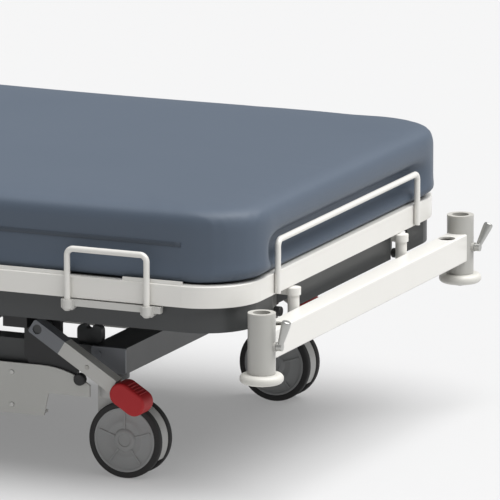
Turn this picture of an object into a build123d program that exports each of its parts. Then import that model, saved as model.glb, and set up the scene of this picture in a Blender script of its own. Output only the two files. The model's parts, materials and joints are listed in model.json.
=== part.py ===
from build123d import *
from math import cos, radians, sin, tan
import os

# Height-adjustable hospital trolley with a mattress, lying along X.
# Origin: floor, under the middle of the deck. +X points to the foot end, -Y to the patient's
# right side, +Z up. The deck is modelled in its lowest position. All sizes are in millimetres.

os.makedirs("parts", exist_ok=True)

# ---- driving dimensions: deck ----
RIM_Z = 313.6          # height of the corner sockets' rims
SOCKET_X = 1010.0      # corner sockets stand at +-X, +-Y
SOCKET_Y = 410.7
RAIL_HALF_X = 979.0
RAIL_HALF_Y = 438.5
RAIL_CORNER = 95.0
RAIL_WALL = 20.0
RAIL_LOW = RIM_Z + 2.0
RAIL_HEIGHT = 35.0
RAIL_HIGH = RAIL_LOW + RAIL_HEIGHT
LIPS = ((520.0, 689.0), (781.0, 884.0))    # raised stretches of the rail, along X
LIP_HEIGHT = 6.0
LIP_THICK = 3.0

SKIRT_INSET = 8.0
SKIRT_LOW = 274.0
SKIRT_WALL = 4.0
NOTCH_WIDTH = 70.0     # gap in the skirt's ends for the crossbar brackets

LONG_Y = 242.0         # centre lines of the deck frame's long members
MEMBER_WIDTH = 40.0
MEMBER_LOW = 277.0
MEMBER_HEIGHT = 35.0
MEMBER_HIGH = MEMBER_LOW + MEMBER_HEIGHT
MEMBER_WALL = 2.5
FRAME_HALF_X = 944.0
CROSS_MEMBERS = (-900.0, -500.0, 280.0, 640.0, 920.0)

PANEL_THICK = 10.0
PANEL_LOW = RAIL_HIGH - PANEL_THICK - 0.6
PANEL_GAP = 1.5        # between a panel's edge and the rail

# ---- driving dimensions: backrest ----
HINGE_X = -120.0
HINGE_Z = 334.0
HINGE_KNUCKLE_R = 5.6
HINGE_PIN_R = 3.0
RUNNING_GAP = 0.05     # radial clearance of every pin in its bore
BACK_ANGLE = 60.0
BACK_LEVER_H = 75.0    # height of the lever's pin track below the hinge
BACK_LEVER_HALF = 14.0
SPRING_TUBE_R = 15.0
SPRING_ROD_R = 6.0
SPRING_FRONT_X = -35.0
SPRING_REAR_X = 250.0
SPRING_WALL = 2.5
SPRING_CAP = 10.0
SPRING_TAIL_R = 7.0
SPRING_EYE = 24.0      # size of the block that holds the spring's rear end

# ---- driving dimensions: mattress ----
MATTRESS_HALF_Y = 430.0
MATTRESS_END_X = 977.0
MATTRESS_LOW = 351.0
MATTRESS_HIGH = 467.0
MATTRESS_CORNER = 98.0
FOLD_START_X = -240.0  # the mattress bends between these two places
FOLD_END_X = 0.0

# ---- driving dimensions: end crossbars, sockets, clamps, hoops ----
BAR_HALF_X = 17.5
BAR_LOW = RIM_Z - 76.5
BAR_HEIGHT = 47.0
BAR_WALL = 3.0
BAR_HOLE_R = 14.0
BAR_HOLE_Y = 352.0
SOCKET_R = 22.3
SOCKET_INNER_R = 19.5
SOCKET_BORE_R = 14.0
SOCKET_LENGTH = 96.0
FLANGE_THICK = 2.0
BUMPER_R = 35.0
BUMPER_THICK = 15.5
BOLT_R = 5.0
CLAMP_Z = RIM_Z - 53.0
CLAMP_SCREW_R = 4.0
POST_R = 9.5
POST_X = SOCKET_X - BAR_HALF_X - POST_R
POST_Y = 222.0
POST_HIGH = RIM_Z + 1.0
HOOP_R = 5.0
HOOP_BEND = 11.0
END_HOOP_HALF_Y = 287.0
END_HOOP_Z = RIM_Z + 90.0
SIDE_HOOP_X = (688.6, 826.5)
SIDE_HOOP_Y = 444.5
SIDE_HOOP_Z = RIM_Z + 82.6
SIDE_HOOP_FOOT_Z = RIM_Z - 14.6

# ---- driving dimensions: folding side rails ----
GUARD_POST_X = (-150.0, 350.0)
GUARD_PIVOT_Z = 333.0
GUARD_POST_LENGTH = 320.0
GUARD_POST_HALF = 14.0
GUARD_POST_Y = (451.5, 464.5)
GUARD_BAR_Y = (467.0, 489.0)
GUARD_BAR_HALF = 11.0
GUARD_BAR_OVERHANG = 60.0
GUARD_PIN_R = 6.0
GUARD_TIP_PIN_R = 5.0

# ---- driving dimensions: base ----
BEAM_LOW = 170.0
BEAM_HIGH = 212.0
BEAM_WALL = 3.0
CROSS_BEAM_X = (675.0, 735.0)
SIDE_BEAM_Y = (280.0, 320.0)
CASTOR_X = 703.0
CASTOR_Y = 300.0
TRAIL = 30.0
WHEEL_R = 62.5
WHEEL_Y = (12.5, 25.5)
HOOD_HALF_Y = 11.5
HOOD_R = 60.5
STEM_R = 8.0
CASTOR_HEAD_TOP = 158.0

# ---- driving dimensions: parallelogram lift ----
ARM_LENGTH = 420.0
ARM_REST = 8.0         # slope of the arms in the lowest position, degrees
ARM_SWING = 52.0       # how far they turn to the highest position, degrees
ARM_PIVOT_Z = 190.0
FOOT_ARM_X = 60.0
HEAD_ARM_X = -560.0
ARM_Y = (230.0, 260.0)
ARM_HALF = 22.0
TORSION_R = 20.0
ARM_PIN_R = 10.0
LIFT_LEVER_H = 70.0
LIFT_LEVER_HALF = 16.0
CYLINDER_R = 22.0
LIFT_ROD_R = 9.0
CYLINDER_FRONT_X = -28.0
CYLINDER_REAR_X = -300.0
PUMP_X = (-430.0, -300.0)
PUMP_LOW = 76.0
PUMP_TOP = 130.0
PUMP_BEAM_X = (-400.0, -360.0)
PUMP_BEAM_HEIGHT = 35.0

# ---- driving dimensions: foot pedals ----
PEDAL_X = 602.0
PEDAL_Z = 242.0
PEDAL_SLOPE = 32.0
PEDAL_Y = (348.0, 372.0)
PEDAL_SHAFT_R = 8.0
PEDAL_REACH = 184.0    # pivot to the middle of the red pad

# ---- worked out from the above ----
CORNERS = {
    "foot_right": (1, -1),
    "foot_left": (1, 1),
    "head_right": (-1, -1),
    "head_left": (-1, 1),
}
ARM_RISE = ARM_LENGTH * sin(radians(ARM_REST))
ARM_RUN = ARM_LENGTH * cos(radians(ARM_REST))
DECK_PIVOT_Z = ARM_PIVOT_Z + ARM_RISE
BACK_HALF_ANGLE = BACK_ANGLE / 2
LIFT_HALF_ANGLE = ARM_SWING / 2
BACK_PIN_X = HINGE_X + BACK_LEVER_H * tan(radians(BACK_HALF_ANGLE))
BACK_PIN_Z = HINGE_Z - BACK_LEVER_H
LIFT_PIN_X = FOOT_ARM_X - LIFT_LEVER_H * tan(radians(LIFT_HALF_ANGLE))
LIFT_PIN_Z = ARM_PIVOT_Z - LIFT_LEVER_H
PUMP_BEAM_MID_Z = PUMP_TOP + PUMP_BEAM_HEIGHT / 2


def write(part, name):
    part.label = name
    export_step(part, f"parts/{name}.step")


# ======== deck: rail, skirt, frame and panels ========

with BuildPart() as deck_rail:
    with BuildSketch(Plane.XY.offset(RAIL_LOW)):
        RectangleRounded(2 * RAIL_HALF_X, 2 * RAIL_HALF_Y, RAIL_CORNER)
        RectangleRounded(
            2 * (RAIL_HALF_X - RAIL_WALL),
            2 * (RAIL_HALF_Y - RAIL_WALL),
            RAIL_CORNER - RAIL_WALL,
            mode=Mode.SUBTRACT,
        )
    extrude(amount=RAIL_HEIGHT)
    rail_edges = deck_rail.faces().sort_by(Axis.Z)[-1].outer_wire().edges()
    fillet(rail_edges, radius=2.0)
    with BuildSketch(Plane.XY.offset(RAIL_HIGH)):
        for side_x, side_y in CORNERS.values():
            for lip_low, lip_high in LIPS:
                lip_middle = side_x * (lip_low + lip_high) / 2
                with Locations((lip_middle, side_y * (RAIL_HALF_Y - 2.0 - LIP_THICK / 2))):
                    Rectangle(lip_high - lip_low, LIP_THICK)
    extrude(amount=LIP_HEIGHT)
write(deck_rail.part, "deck_rail")

with BuildPart() as deck_skirt:
    with BuildSketch(Plane.XY.offset(SKIRT_LOW)):
        RectangleRounded(
            2 * (RAIL_HALF_X - SKIRT_INSET),
            2 * (RAIL_HALF_Y - SKIRT_INSET),
            RAIL_CORNER - SKIRT_INSET,
        )
        RectangleRounded(
            2 * (RAIL_HALF_X - SKIRT_INSET - SKIRT_WALL),
            2 * (RAIL_HALF_Y - SKIRT_INSET - SKIRT_WALL),
            RAIL_CORNER - SKIRT_INSET - SKIRT_WALL,
            mode=Mode.SUBTRACT,
        )
        for side_x, side_y in CORNERS.values():
            with Locations((side_x * RAIL_HALF_X, side_y * LONG_Y)):
                Rectangle(4 * SKIRT_INSET, NOTCH_WIDTH, mode=Mode.SUBTRACT)
    extrude(amount=RAIL_LOW - SKIRT_LOW)
write(deck_skirt.part, "deck_skirt")

HINGE_MEMBER_X = (-110.0, -80.0)
HINGE_MEMBER_GAP = 25.0
DECK_KNUCKLES = ((100.0, 130.0), (190.0, 215.0))
LUG_THICK = 12.0
LUG_HALF_X = 26.0

with BuildPart() as deck_frame:
    with BuildSketch(Plane.YZ.offset(-FRAME_HALF_X)):
        with Locations((-LONG_Y, MEMBER_LOW + MEMBER_HEIGHT / 2), (LONG_Y, MEMBER_LOW + MEMBER_HEIGHT / 2)):
            Rectangle(MEMBER_WIDTH, MEMBER_HEIGHT)
            Rectangle(
                MEMBER_WIDTH - 2 * MEMBER_WALL,
                MEMBER_HEIGHT - 2 * MEMBER_WALL,
                mode=Mode.SUBTRACT,
            )
    extrude(amount=2 * FRAME_HALF_X)
    with BuildSketch(Plane.XZ.offset(-(LONG_Y - MEMBER_WIDTH / 2))):
        with Locations(*[(x, MEMBER_LOW + MEMBER_HEIGHT / 2) for x in CROSS_MEMBERS]):
            Rectangle(MEMBER_WIDTH, MEMBER_HEIGHT)
            Rectangle(
                MEMBER_WIDTH - 2 * MEMBER_WALL,
                MEMBER_HEIGHT - 2 * MEMBER_WALL,
                mode=Mode.SUBTRACT,
            )
    extrude(amount=2 * LONG_Y - MEMBER_WIDTH)
    # the hinge member leaves a gap in its middle for the backrest's lever
    for side_y in (-1, 1):
        member_near = HINGE_MEMBER_GAP if side_y > 0 else -(LONG_Y - MEMBER_WIDTH / 2)
        member_far = LONG_Y - MEMBER_WIDTH / 2 if side_y > 0 else -HINGE_MEMBER_GAP
        with BuildSketch(Plane.XZ.offset(-member_far)):
            with Locations((sum(HINGE_MEMBER_X) / 2, MEMBER_LOW + MEMBER_HEIGHT / 2)):
                Rectangle(HINGE_MEMBER_X[1] - HINGE_MEMBER_X[0], MEMBER_HEIGHT)
        extrude(amount=member_far - member_near)
        for knuckle_low, knuckle_high in DECK_KNUCKLES:
            knuckle_far = knuckle_high if side_y > 0 else -knuckle_low
            with BuildSketch(Plane.XZ.offset(-knuckle_far)):
                with Locations(((HINGE_X + 1.0 + HINGE_MEMBER_X[1]) / 2, MEMBER_HIGH + 9.0)):
                    Rectangle(HINGE_MEMBER_X[1] - HINGE_X - 1.0, 18.0)
                with Locations((HINGE_X, HINGE_Z)):
                    Circle(HINGE_KNUCKLE_R)
                    Circle(HINGE_PIN_R + RUNNING_GAP, mode=Mode.SUBTRACT)
            extrude(amount=knuckle_high - knuckle_low)
    # rear eye of the backrest's gas spring
    with BuildSketch(Plane.XZ.offset(-9.0)):
        with Locations((CROSS_MEMBERS[2], (MEMBER_LOW + BACK_PIN_Z) / 2)):
            Rectangle(SPRING_EYE, MEMBER_LOW - BACK_PIN_Z + SPRING_EYE)
    extrude(amount=18.0)
write(deck_frame.part, "deck_frame")

with BuildPart() as deck_lugs:
    for arm_x in (FOOT_ARM_X + ARM_RUN, HEAD_ARM_X + ARM_RUN):
        with BuildSketch(Plane.XZ.offset(LONG_Y + MEMBER_WIDTH / 2)):
            with Locations((arm_x, DECK_PIVOT_Z)):
                Circle(LUG_HALF_X - 4.0)
            with Locations((arm_x, (DECK_PIVOT_Z + MEMBER_HIGH) / 2)):
                Rectangle(2 * (LUG_HALF_X - 4.0), MEMBER_HIGH - DECK_PIVOT_Z)
        extrude(amount=LUG_THICK)
        with BuildSketch(Plane.XZ.offset(ARM_Y[0] - 2.0)):
            with Locations((arm_x, DECK_PIVOT_Z)):
                Circle(ARM_PIN_R)
        extrude(amount=LONG_Y + MEMBER_WIDTH / 2 - ARM_Y[0] + 2.0)
    mirror(about=Plane.XZ)
write(deck_lugs.part, "deck_lugs")


def panel_outline(low_x, high_x):
    with BuildSketch(Plane.XY.offset(PANEL_LOW)) as outline:
        RectangleRounded(
            2 * (RAIL_HALF_X - RAIL_WALL - PANEL_GAP),
            2 * (RAIL_HALF_Y - RAIL_WALL - PANEL_GAP),
            RAIL_CORNER - RAIL_WALL - PANEL_GAP,
        )
        with Locations(((low_x + high_x) / 2, 0)):
            Rectangle(high_x - low_x, 2 * RAIL_HALF_Y, mode=Mode.INTERSECT)
    return outline.sketch


with BuildPart() as panel_foot:
    add(panel_outline(HINGE_X + 18.0, RAIL_HALF_X))
    extrude(amount=PANEL_THICK)
write(panel_foot.part, "panel_foot")

with BuildPart() as panel_back:
    add(panel_outline(-RAIL_HALF_X, HINGE_X - 3.0))
    extrude(amount=PANEL_THICK)
write(panel_back.part, "panel_back")

# ======== backrest: frame with slotted lever and hinge pin, gas spring ========

BACK_STRIP_Y = 146.0
BACK_STRIP_WIDTH = 28.0
BACK_STRIP_X = (-908.0, -122.0)
BACK_TIES = (-320.0, -860.0)
BACK_TIE_WIDTH = 40.0
BACK_SPINE_X = (-334.0, -126.0)
BACK_STRIP_LOW = HINGE_Z - 6.0
BACK_STRIP_HEIGHT = PANEL_LOW - BACK_STRIP_LOW
LEVER_THICK = 8.0
BACK_SLOT_HALF = SPRING_ROD_R + 2.1
SLOT_SPARE = 2.0
HINGE_PIN_HALF = DECK_KNUCKLES[1][1] + 1.0
LEVER_GUSSET = (       # corners, from the hinge's axis
    (-110.0, -6.0),
    (-110.0, -2.0),
    (-3.0, -2.0),
    (12.0, -7.0),
    (8.0, -42.0),
    (-20.0, -30.0),
)
strip_middle = sum(BACK_STRIP_X) / 2

with BuildPart() as backrest_frame:
    with BuildSketch(Plane.XY.offset(BACK_STRIP_LOW)):
        with Locations((strip_middle, -BACK_STRIP_Y), (strip_middle, BACK_STRIP_Y)):
            Rectangle(BACK_STRIP_X[1] - BACK_STRIP_X[0], BACK_STRIP_WIDTH)
        with Locations(*[(tie_x, 0) for tie_x in BACK_TIES]):
            Rectangle(BACK_TIE_WIDTH, 2 * BACK_STRIP_Y)
        with Locations((sum(BACK_SPINE_X) / 2, 0)):
            Rectangle(BACK_SPINE_X[1] - BACK_SPINE_X[0], BACK_STRIP_WIDTH)
    extrude(amount=BACK_STRIP_HEIGHT)
    for side_y in (-1, 1):
        with BuildSketch(Plane.XZ.offset(-(side_y * BACK_STRIP_Y + BACK_STRIP_WIDTH / 2))):
            with Locations((HINGE_X, HINGE_Z)):
                Circle(HINGE_KNUCKLE_R)
        extrude(amount=BACK_STRIP_WIDTH)
    lever_plane = Plane(
        origin=(HINGE_X, LEVER_THICK / 2, HINGE_Z),
        x_dir=(sin(radians(BACK_HALF_ANGLE)), 0, -cos(radians(BACK_HALF_ANGLE))),
        z_dir=(0, -1, 0),
    )
    lever_far = BACK_LEVER_H / cos(radians(BACK_HALF_ANGLE))
    with BuildSketch(lever_plane):
        with Locations(((lever_far + 12.0) / 2, 0)):
            Rectangle(lever_far + 12.0, 2 * BACK_LEVER_HALF)
        with Locations(((BACK_LEVER_H + lever_far) / 2, 0)):
            SlotCenterToCenter(
                lever_far - BACK_LEVER_H + 2 * SLOT_SPARE,
                2 * BACK_SLOT_HALF,
                mode=Mode.SUBTRACT,
            )
    extrude(amount=LEVER_THICK)
    with BuildSketch(Plane.XZ.offset(-LEVER_THICK / 2)):
        with BuildLine():
            Polyline(*[(HINGE_X + x, HINGE_Z + z) for x, z in LEVER_GUSSET], close=True)
        make_face()
    extrude(amount=LEVER_THICK)
    # hinge pin, welded into the frame's knuckles
    with BuildSketch(Plane.XZ.offset(-HINGE_PIN_HALF)):
        with Locations((HINGE_X, HINGE_Z)):
            Circle(HINGE_PIN_R)
    extrude(amount=2 * HINGE_PIN_HALF)
write(backrest_frame.part, "backrest_frame")

with BuildPart() as gas_spring_tube:
    with BuildSketch(Plane.YZ.offset(SPRING_FRONT_X)):
        with Locations((0, BACK_PIN_Z)):
            Circle(SPRING_TUBE_R)
    extrude(amount=SPRING_REAR_X - SPRING_FRONT_X)
    with BuildSketch(Plane.YZ.offset(SPRING_FRONT_X + SPRING_CAP)):
        with Locations((0, BACK_PIN_Z)):
            Circle(SPRING_TUBE_R - SPRING_WALL)
    extrude(amount=SPRING_REAR_X - SPRING_FRONT_X - 2 * SPRING_CAP, mode=Mode.SUBTRACT)
    with BuildSketch(Plane.YZ.offset(SPRING_FRONT_X)):
        with Locations((0, BACK_PIN_Z)):
            Circle(SPRING_ROD_R + RUNNING_GAP)
    extrude(amount=SPRING_CAP, mode=Mode.SUBTRACT)
    with BuildSketch(Plane.YZ.offset(SPRING_REAR_X)):
        with Locations((0, BACK_PIN_Z)):
            Circle(SPRING_TAIL_R)
    extrude(amount=CROSS_MEMBERS[2] - SPRING_EYE / 2 - SPRING_REAR_X)
write(gas_spring_tube.part, "gas_spring_tube")


JAW_THICK = 6.5
JAW_LENGTH = 46.0
JAW_SHIFT = 9.0        # the jaws' middle lies past the pin, towards the rod
YOKE_REACH = 30.0
YOKE_THICK = 8.0
PISTON_LENGTH = 14.0


def forked_rod(pin_x, pin_z, toward, rod_r, rod_end, piston_r, lever_thick):
    """Rod along X with a forked end; 'toward' is +1 or -1, from the pin to the rod."""
    jaw_inner = lever_thick / 2 + 1.5
    jaw_outer = jaw_inner + JAW_THICK
    half_height = rod_r + 3.0
    rod_start = pin_x + toward * YOKE_REACH
    with BuildPart() as rod:
        for jaw_y in (-jaw_outer, jaw_inner):
            with BuildSketch(Plane.XZ.offset(-jaw_y - JAW_THICK)):
                with Locations((pin_x + toward * JAW_SHIFT, pin_z)):
                    RectangleRounded(JAW_LENGTH, 2 * half_height, 4.0)
            extrude(amount=JAW_THICK)
        with BuildSketch(Plane.XZ.offset(-jaw_outer)):
            with Locations((rod_start, pin_z)):
                Rectangle(YOKE_THICK, 2 * half_height)
        extrude(amount=2 * jaw_outer)
        with BuildSketch(Plane.XZ.offset(-jaw_outer)):
            with Locations((pin_x, pin_z)):
                Circle(SPRING_ROD_R)
        extrude(amount=2 * jaw_outer)
        with BuildSketch(Plane.YZ.offset(min(rod_start, rod_end))):
            with Locations((0, pin_z)):
                Circle(rod_r)
        extrude(amount=abs(rod_end - rod_start))
        with BuildSketch(Plane.YZ.offset(min(rod_end, rod_end - toward * PISTON_LENGTH))):
            with Locations((0, pin_z)):
                Circle(piston_r)
        extrude(amount=PISTON_LENGTH)
    return rod.part


write(
    forked_rod(BACK_PIN_X, BACK_PIN_Z, 1, SPRING_ROD_R, 130.0, SPRING_TUBE_R - 2.6, LEVER_THICK),
    "gas_spring_rod",
)

# ======== mattress: back section, bending section, foot section ========


def mattress_slab(low_x, high_x):
    with BuildPart() as slab:
        with BuildSketch(Plane.XY.offset(MATTRESS_LOW)):
            RectangleRounded(2 * MATTRESS_END_X, 2 * MATTRESS_HALF_Y, MATTRESS_CORNER)
            with Locations(((low_x + high_x) / 2, 0)):
                Rectangle(high_x - low_x, 2 * MATTRESS_HALF_Y, mode=Mode.INTERSECT)
        extrude(amount=MATTRESS_HIGH - MATTRESS_LOW)
    return slab.part


write(mattress_slab(-MATTRESS_END_X, FOLD_START_X), "mattress_back")
write(mattress_slab(FOLD_START_X + 0.5, FOLD_END_X - 0.5), "mattress_fold")
write(mattress_slab(FOLD_END_X, MATTRESS_END_X), "mattress_foot")

# ======== end crossbars with their brackets, corner sockets, bumpers, clamps ========


with BuildPart() as crossbars:
    with BuildSketch(Plane.XZ.offset(-SOCKET_Y)):
        with Locations((SOCKET_X, BAR_LOW + BAR_HEIGHT / 2)):
            RectangleRounded(2 * BAR_HALF_X, BAR_HEIGHT, 3.0)
            Rectangle(
                2 * (BAR_HALF_X - BAR_WALL),
                BAR_HEIGHT - 2 * BAR_WALL,
                mode=Mode.SUBTRACT,
            )
    extrude(amount=2 * SOCKET_Y)
    # the ends fit round the sockets' tubes
    with BuildSketch(Plane.XY.offset(BAR_LOW - 1.0)):
        with Locations((SOCKET_X, -SOCKET_Y), (SOCKET_X, SOCKET_Y)):
            Circle(SOCKET_R)
    extrude(amount=BAR_HEIGHT + 2.0, mode=Mode.SUBTRACT)
    with BuildSketch(Plane.XY.offset(BAR_LOW + BAR_HEIGHT / 2)):
        with Locations((SOCKET_X, -BAR_HOLE_Y), (SOCKET_X, BAR_HOLE_Y)):
            Circle(BAR_HOLE_R)
    extrude(amount=BAR_HEIGHT, mode=Mode.SUBTRACT)
    mirror(about=Plane.YZ)
write(crossbars.part, "crossbars")

SOCKET_LOW = RIM_Z - FLANGE_THICK - SOCKET_LENGTH
PLUG_THICK = 8.0
BOSS_R = 7.5
BOSS_REACH = 26.0

with BuildPart() as corner_sockets:
    with BuildSketch(Plane.XY.offset(SOCKET_LOW)):
        with Locations((SOCKET_X, -SOCKET_Y)):
            Circle(SOCKET_R)
    extrude(amount=SOCKET_LENGTH)
    with BuildSketch(Plane.YZ.offset(SOCKET_X)):
        with Locations((-SOCKET_Y, CLAMP_Z)):
            Circle(BOSS_R)
    extrude(amount=BOSS_REACH)
    with BuildSketch(Plane.XY.offset(SOCKET_LOW)):
        with Locations((SOCKET_X, -SOCKET_Y)):
            Circle(SOCKET_INNER_R)
    extrude(amount=SOCKET_LENGTH, mode=Mode.SUBTRACT)
    with BuildSketch(Plane.YZ.offset(SOCKET_X)):
        with Locations((-SOCKET_Y, CLAMP_Z)):
            Circle(CLAMP_SCREW_R + RUNNING_GAP)
    extrude(amount=BOSS_REACH, mode=Mode.SUBTRACT)
    mirror(about=Plane.XZ)
    mirror(about=Plane.YZ)
write(corner_sockets.part, "corner_sockets")

INSERT_LENGTH = 80.0
with BuildPart() as socket_inserts:
    with BuildSketch(Plane.XY.offset(RIM_Z - FLANGE_THICK)):
        with Locations((SOCKET_X, -SOCKET_Y)):
            Circle(SOCKET_R)
    extrude(amount=FLANGE_THICK)
    with BuildSketch(Plane.XY.offset(RIM_Z - FLANGE_THICK)):
        with Locations((SOCKET_X, -SOCKET_Y)):
            Circle(SOCKET_INNER_R)
    extrude(amount=-INSERT_LENGTH)
    with BuildSketch(Plane.XY.offset(RIM_Z)):
        with Locations((SOCKET_X, -SOCKET_Y)):
            Circle(SOCKET_BORE_R)
    extrude(amount=-INSERT_LENGTH - FLANGE_THICK, mode=Mode.SUBTRACT)
    with BuildSketch(Plane.YZ.offset(SOCKET_X)):
        with Locations((-SOCKET_Y, CLAMP_Z)):
            Circle(CLAMP_SCREW_R + RUNNING_GAP)
    extrude(amount=BOSS_REACH, mode=Mode.SUBTRACT)
    mirror(about=Plane.XZ)
    mirror(about=Plane.YZ)
write(socket_inserts.part, "socket_inserts")

BUMPER_HIGH = SOCKET_LOW - 0.5
BUMPER_LOW = BUMPER_HIGH - BUMPER_THICK
with BuildPart() as bumper_bolts:
    with BuildSketch(Plane.XY.offset(SOCKET_LOW)):
        with Locations((SOCKET_X, -SOCKET_Y)):
            Circle(SOCKET_INNER_R)
    extrude(amount=PLUG_THICK)
    with BuildSketch(Plane.XY.offset(BUMPER_LOW - 1.0)):
        with Locations((SOCKET_X, -SOCKET_Y)):
            Circle(BOLT_R)
    extrude(amount=SOCKET_LOW - BUMPER_LOW + 1.0)
    with BuildSketch(Plane.XY.offset(BUMPER_LOW - 5.0)):
        with Locations((SOCKET_X, -SOCKET_Y)):
            RegularPolygon(9.0, 6)
    extrude(amount=4.5)
    mirror(about=Plane.XZ)
    mirror(about=Plane.YZ)
write(bumper_bolts.part, "bumper_bolts")


def bumper_roller(side_x, side_y):
    """Round wall bumper that turns on the bolt under its corner socket."""
    with BuildPart() as roller:
        with BuildSketch(Plane.XY.offset(BUMPER_LOW)):
            with Locations((side_x * SOCKET_X, side_y * SOCKET_Y)):
                Circle(BUMPER_R)
        extrude(amount=BUMPER_THICK)
        fillet(roller.edges(), radius=BUMPER_THICK / 2 - 0.5)
        with BuildSketch(Plane.XY.offset(BUMPER_LOW)):
            with Locations((side_x * SOCKET_X, side_y * SOCKET_Y)):
                Circle(BOLT_R + RUNNING_GAP)
        extrude(amount=BUMPER_THICK, mode=Mode.SUBTRACT)
    return roller.part


CLAMP_HUB_X = 31.0     # from the socket's axis to the middle of the hub
CLAMP_LEAN = 16.0      # the grip leans away from the socket by this angle
CLAMP_LENGTH = 44.0
CLAMP_SCREW_START = 14.6
CLAMP_HUB_R = 6.5
CLAMP_HUB_LENGTH = 9.0
GRIP_ROOT_R = 4.2
GRIP_TIP_R = 7.6
GRIP_TIP_LENGTH = 8.0


def clamp_lever(side_x, side_y, turn):
    """Clamping screw with a tapered grip; 'turn' is the grip's rest angle from upright."""
    grip_root = (side_x * (SOCKET_X + CLAMP_HUB_X), side_y * SOCKET_Y, CLAMP_Z)
    lean = radians(CLAMP_LEAN)
    grip_dir = (
        side_x * sin(lean),
        side_y * sin(radians(turn)) * cos(lean),
        cos(radians(turn)) * cos(lean),
    )
    grip_plane = Plane(origin=grip_root, z_dir=grip_dir)
    screw_plane = Plane(
        origin=(side_x * SOCKET_X, side_y * SOCKET_Y, CLAMP_Z),
        z_dir=(side_x, 0, 0),
    )
    with BuildPart() as lever:
        with BuildSketch(screw_plane.offset(CLAMP_SCREW_START)):
            Circle(CLAMP_SCREW_R)
        extrude(amount=CLAMP_HUB_X - CLAMP_SCREW_START)
        with BuildSketch(screw_plane.offset(BOSS_REACH + 0.6)):
            Circle(CLAMP_HUB_R)
        extrude(amount=CLAMP_HUB_LENGTH)
        with BuildSketch(grip_plane):
            Circle(GRIP_ROOT_R)
        with BuildSketch(grip_plane.offset(CLAMP_LENGTH - GRIP_TIP_LENGTH)):
            Circle(GRIP_TIP_R)
        loft()
        with BuildSketch(grip_plane.offset(CLAMP_LENGTH - GRIP_TIP_LENGTH)):
            Circle(GRIP_TIP_R)
        extrude(amount=GRIP_TIP_LENGTH)
        fillet(lever.faces().sort_by(Axis(grip_root, grip_dir))[-1].edges(), radius=3.0)
    return lever.part


for corner, (side_x, side_y) in CORNERS.items():
    write(bumper_roller(side_x, side_y), f"bumper_{corner}")
    write(clamp_lever(side_x, side_y, 0.0 if side_y < 0 else 28.0), f"clamp_{corner}")

POST_LOW = RIM_Z - 45.0
POST_CAP_R = 12.0
STRAP_THICK = 12.0
STRAP_WIDTH = 16.0
PLATE_THICK = 6.0
PLATE_Y = (214.0, 262.0)
PLATE_Z = (RIM_Z - 44.0, RIM_Z + 1.5)
STRAP_START_X = FRAME_HALF_X + PLATE_THICK
with BuildPart() as crossbar_posts:
    with BuildSketch(Plane.XY.offset(POST_LOW)):
        with Locations((POST_X, -POST_Y)):
            Circle(POST_R)
    extrude(amount=POST_HIGH - STRAP_THICK - POST_LOW)
    with BuildSketch(Plane.XY.offset(POST_HIGH - STRAP_THICK)):
        with Locations((POST_X, -POST_Y)):
            Circle(POST_CAP_R)
        with Locations(((POST_X + STRAP_START_X) / 2, -POST_Y)):
            Rectangle(POST_X - STRAP_START_X, STRAP_WIDTH)
    extrude(amount=STRAP_THICK)
    mirror(about=Plane.XZ)
    mirror(about=Plane.YZ)
write(crossbar_posts.part, "crossbar_posts")

KNOB_Z = RIM_Z - 36.0
KNOB_R = 8.0
KNOB_LENGTH = 12.0
KNOB_STEM_R = 4.0
KNOB_STEM_LENGTH = 9.0
with BuildPart() as crossbar_plates:
    with BuildSketch(Plane.YZ.offset(FRAME_HALF_X)):
        with Locations((-sum(PLATE_Y) / 2, sum(PLATE_Z) / 2)):
            RectangleRounded(PLATE_Y[1] - PLATE_Y[0], PLATE_Z[1] - PLATE_Z[0], 5.0)
    extrude(amount=PLATE_THICK)
    with BuildSketch(Plane.YZ.offset(STRAP_START_X)):
        with Locations((-LONG_Y, KNOB_Z)):
            Circle(KNOB_STEM_R)
    extrude(amount=KNOB_STEM_LENGTH)
    mirror(about=Plane.XZ)
    mirror(about=Plane.YZ)
write(crossbar_plates.part, "crossbar_plates")

with BuildPart() as crossbar_knobs:
    with BuildSketch(Plane.YZ.offset(STRAP_START_X + KNOB_STEM_LENGTH)):
        with Locations((-LONG_Y, KNOB_Z)):
            Circle(KNOB_R)
    extrude(amount=KNOB_LENGTH)
    fillet(crossbar_knobs.edges().filter_by(GeomType.CIRCLE), radius=2.0)
    mirror(about=Plane.XZ)
    mirror(about=Plane.YZ)
write(crossbar_knobs.part, "crossbar_knobs")

# ======== mattress hoops ========


def bent_rod(points):
    with BuildPart() as rod:
        with BuildLine() as route:
            FilletPolyline(*points, radius=HOOP_BEND)
        with BuildSketch(Plane(origin=route.line @ 0, z_dir=route.line % 0)):
            Circle(HOOP_R)
        sweep()
    return rod.part


END_HOOP_X = RAIL_HALF_X + HOOP_R
end_rod = bent_rod([
    (END_HOOP_X, -END_HOOP_HALF_Y, RAIL_LOW + 2.0),
    (END_HOOP_X, -END_HOOP_HALF_Y, END_HOOP_Z),
    (END_HOOP_X, END_HOOP_HALF_Y, END_HOOP_Z),
    (END_HOOP_X, END_HOOP_HALF_Y, RAIL_LOW + 2.0),
])
with BuildPart() as end_hoops:
    add(end_rod)
    mirror(about=Plane.YZ)
write(end_hoops.part, "end_hoops")

side_rod = bent_rod([
    (SIDE_HOOP_X[0], -SIDE_HOOP_Y, SIDE_HOOP_FOOT_Z),
    (SIDE_HOOP_X[0], -SIDE_HOOP_Y, SIDE_HOOP_Z),
    (SIDE_HOOP_X[1], -SIDE_HOOP_Y, SIDE_HOOP_Z),
    (SIDE_HOOP_X[1], -SIDE_HOOP_Y, SIDE_HOOP_FOOT_Z),
])
with BuildPart() as side_hoops:
    add(side_rod)
    mirror(about=Plane.XZ)
    mirror(about=Plane.YZ)
write(side_hoops.part, "side_hoops")

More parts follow.
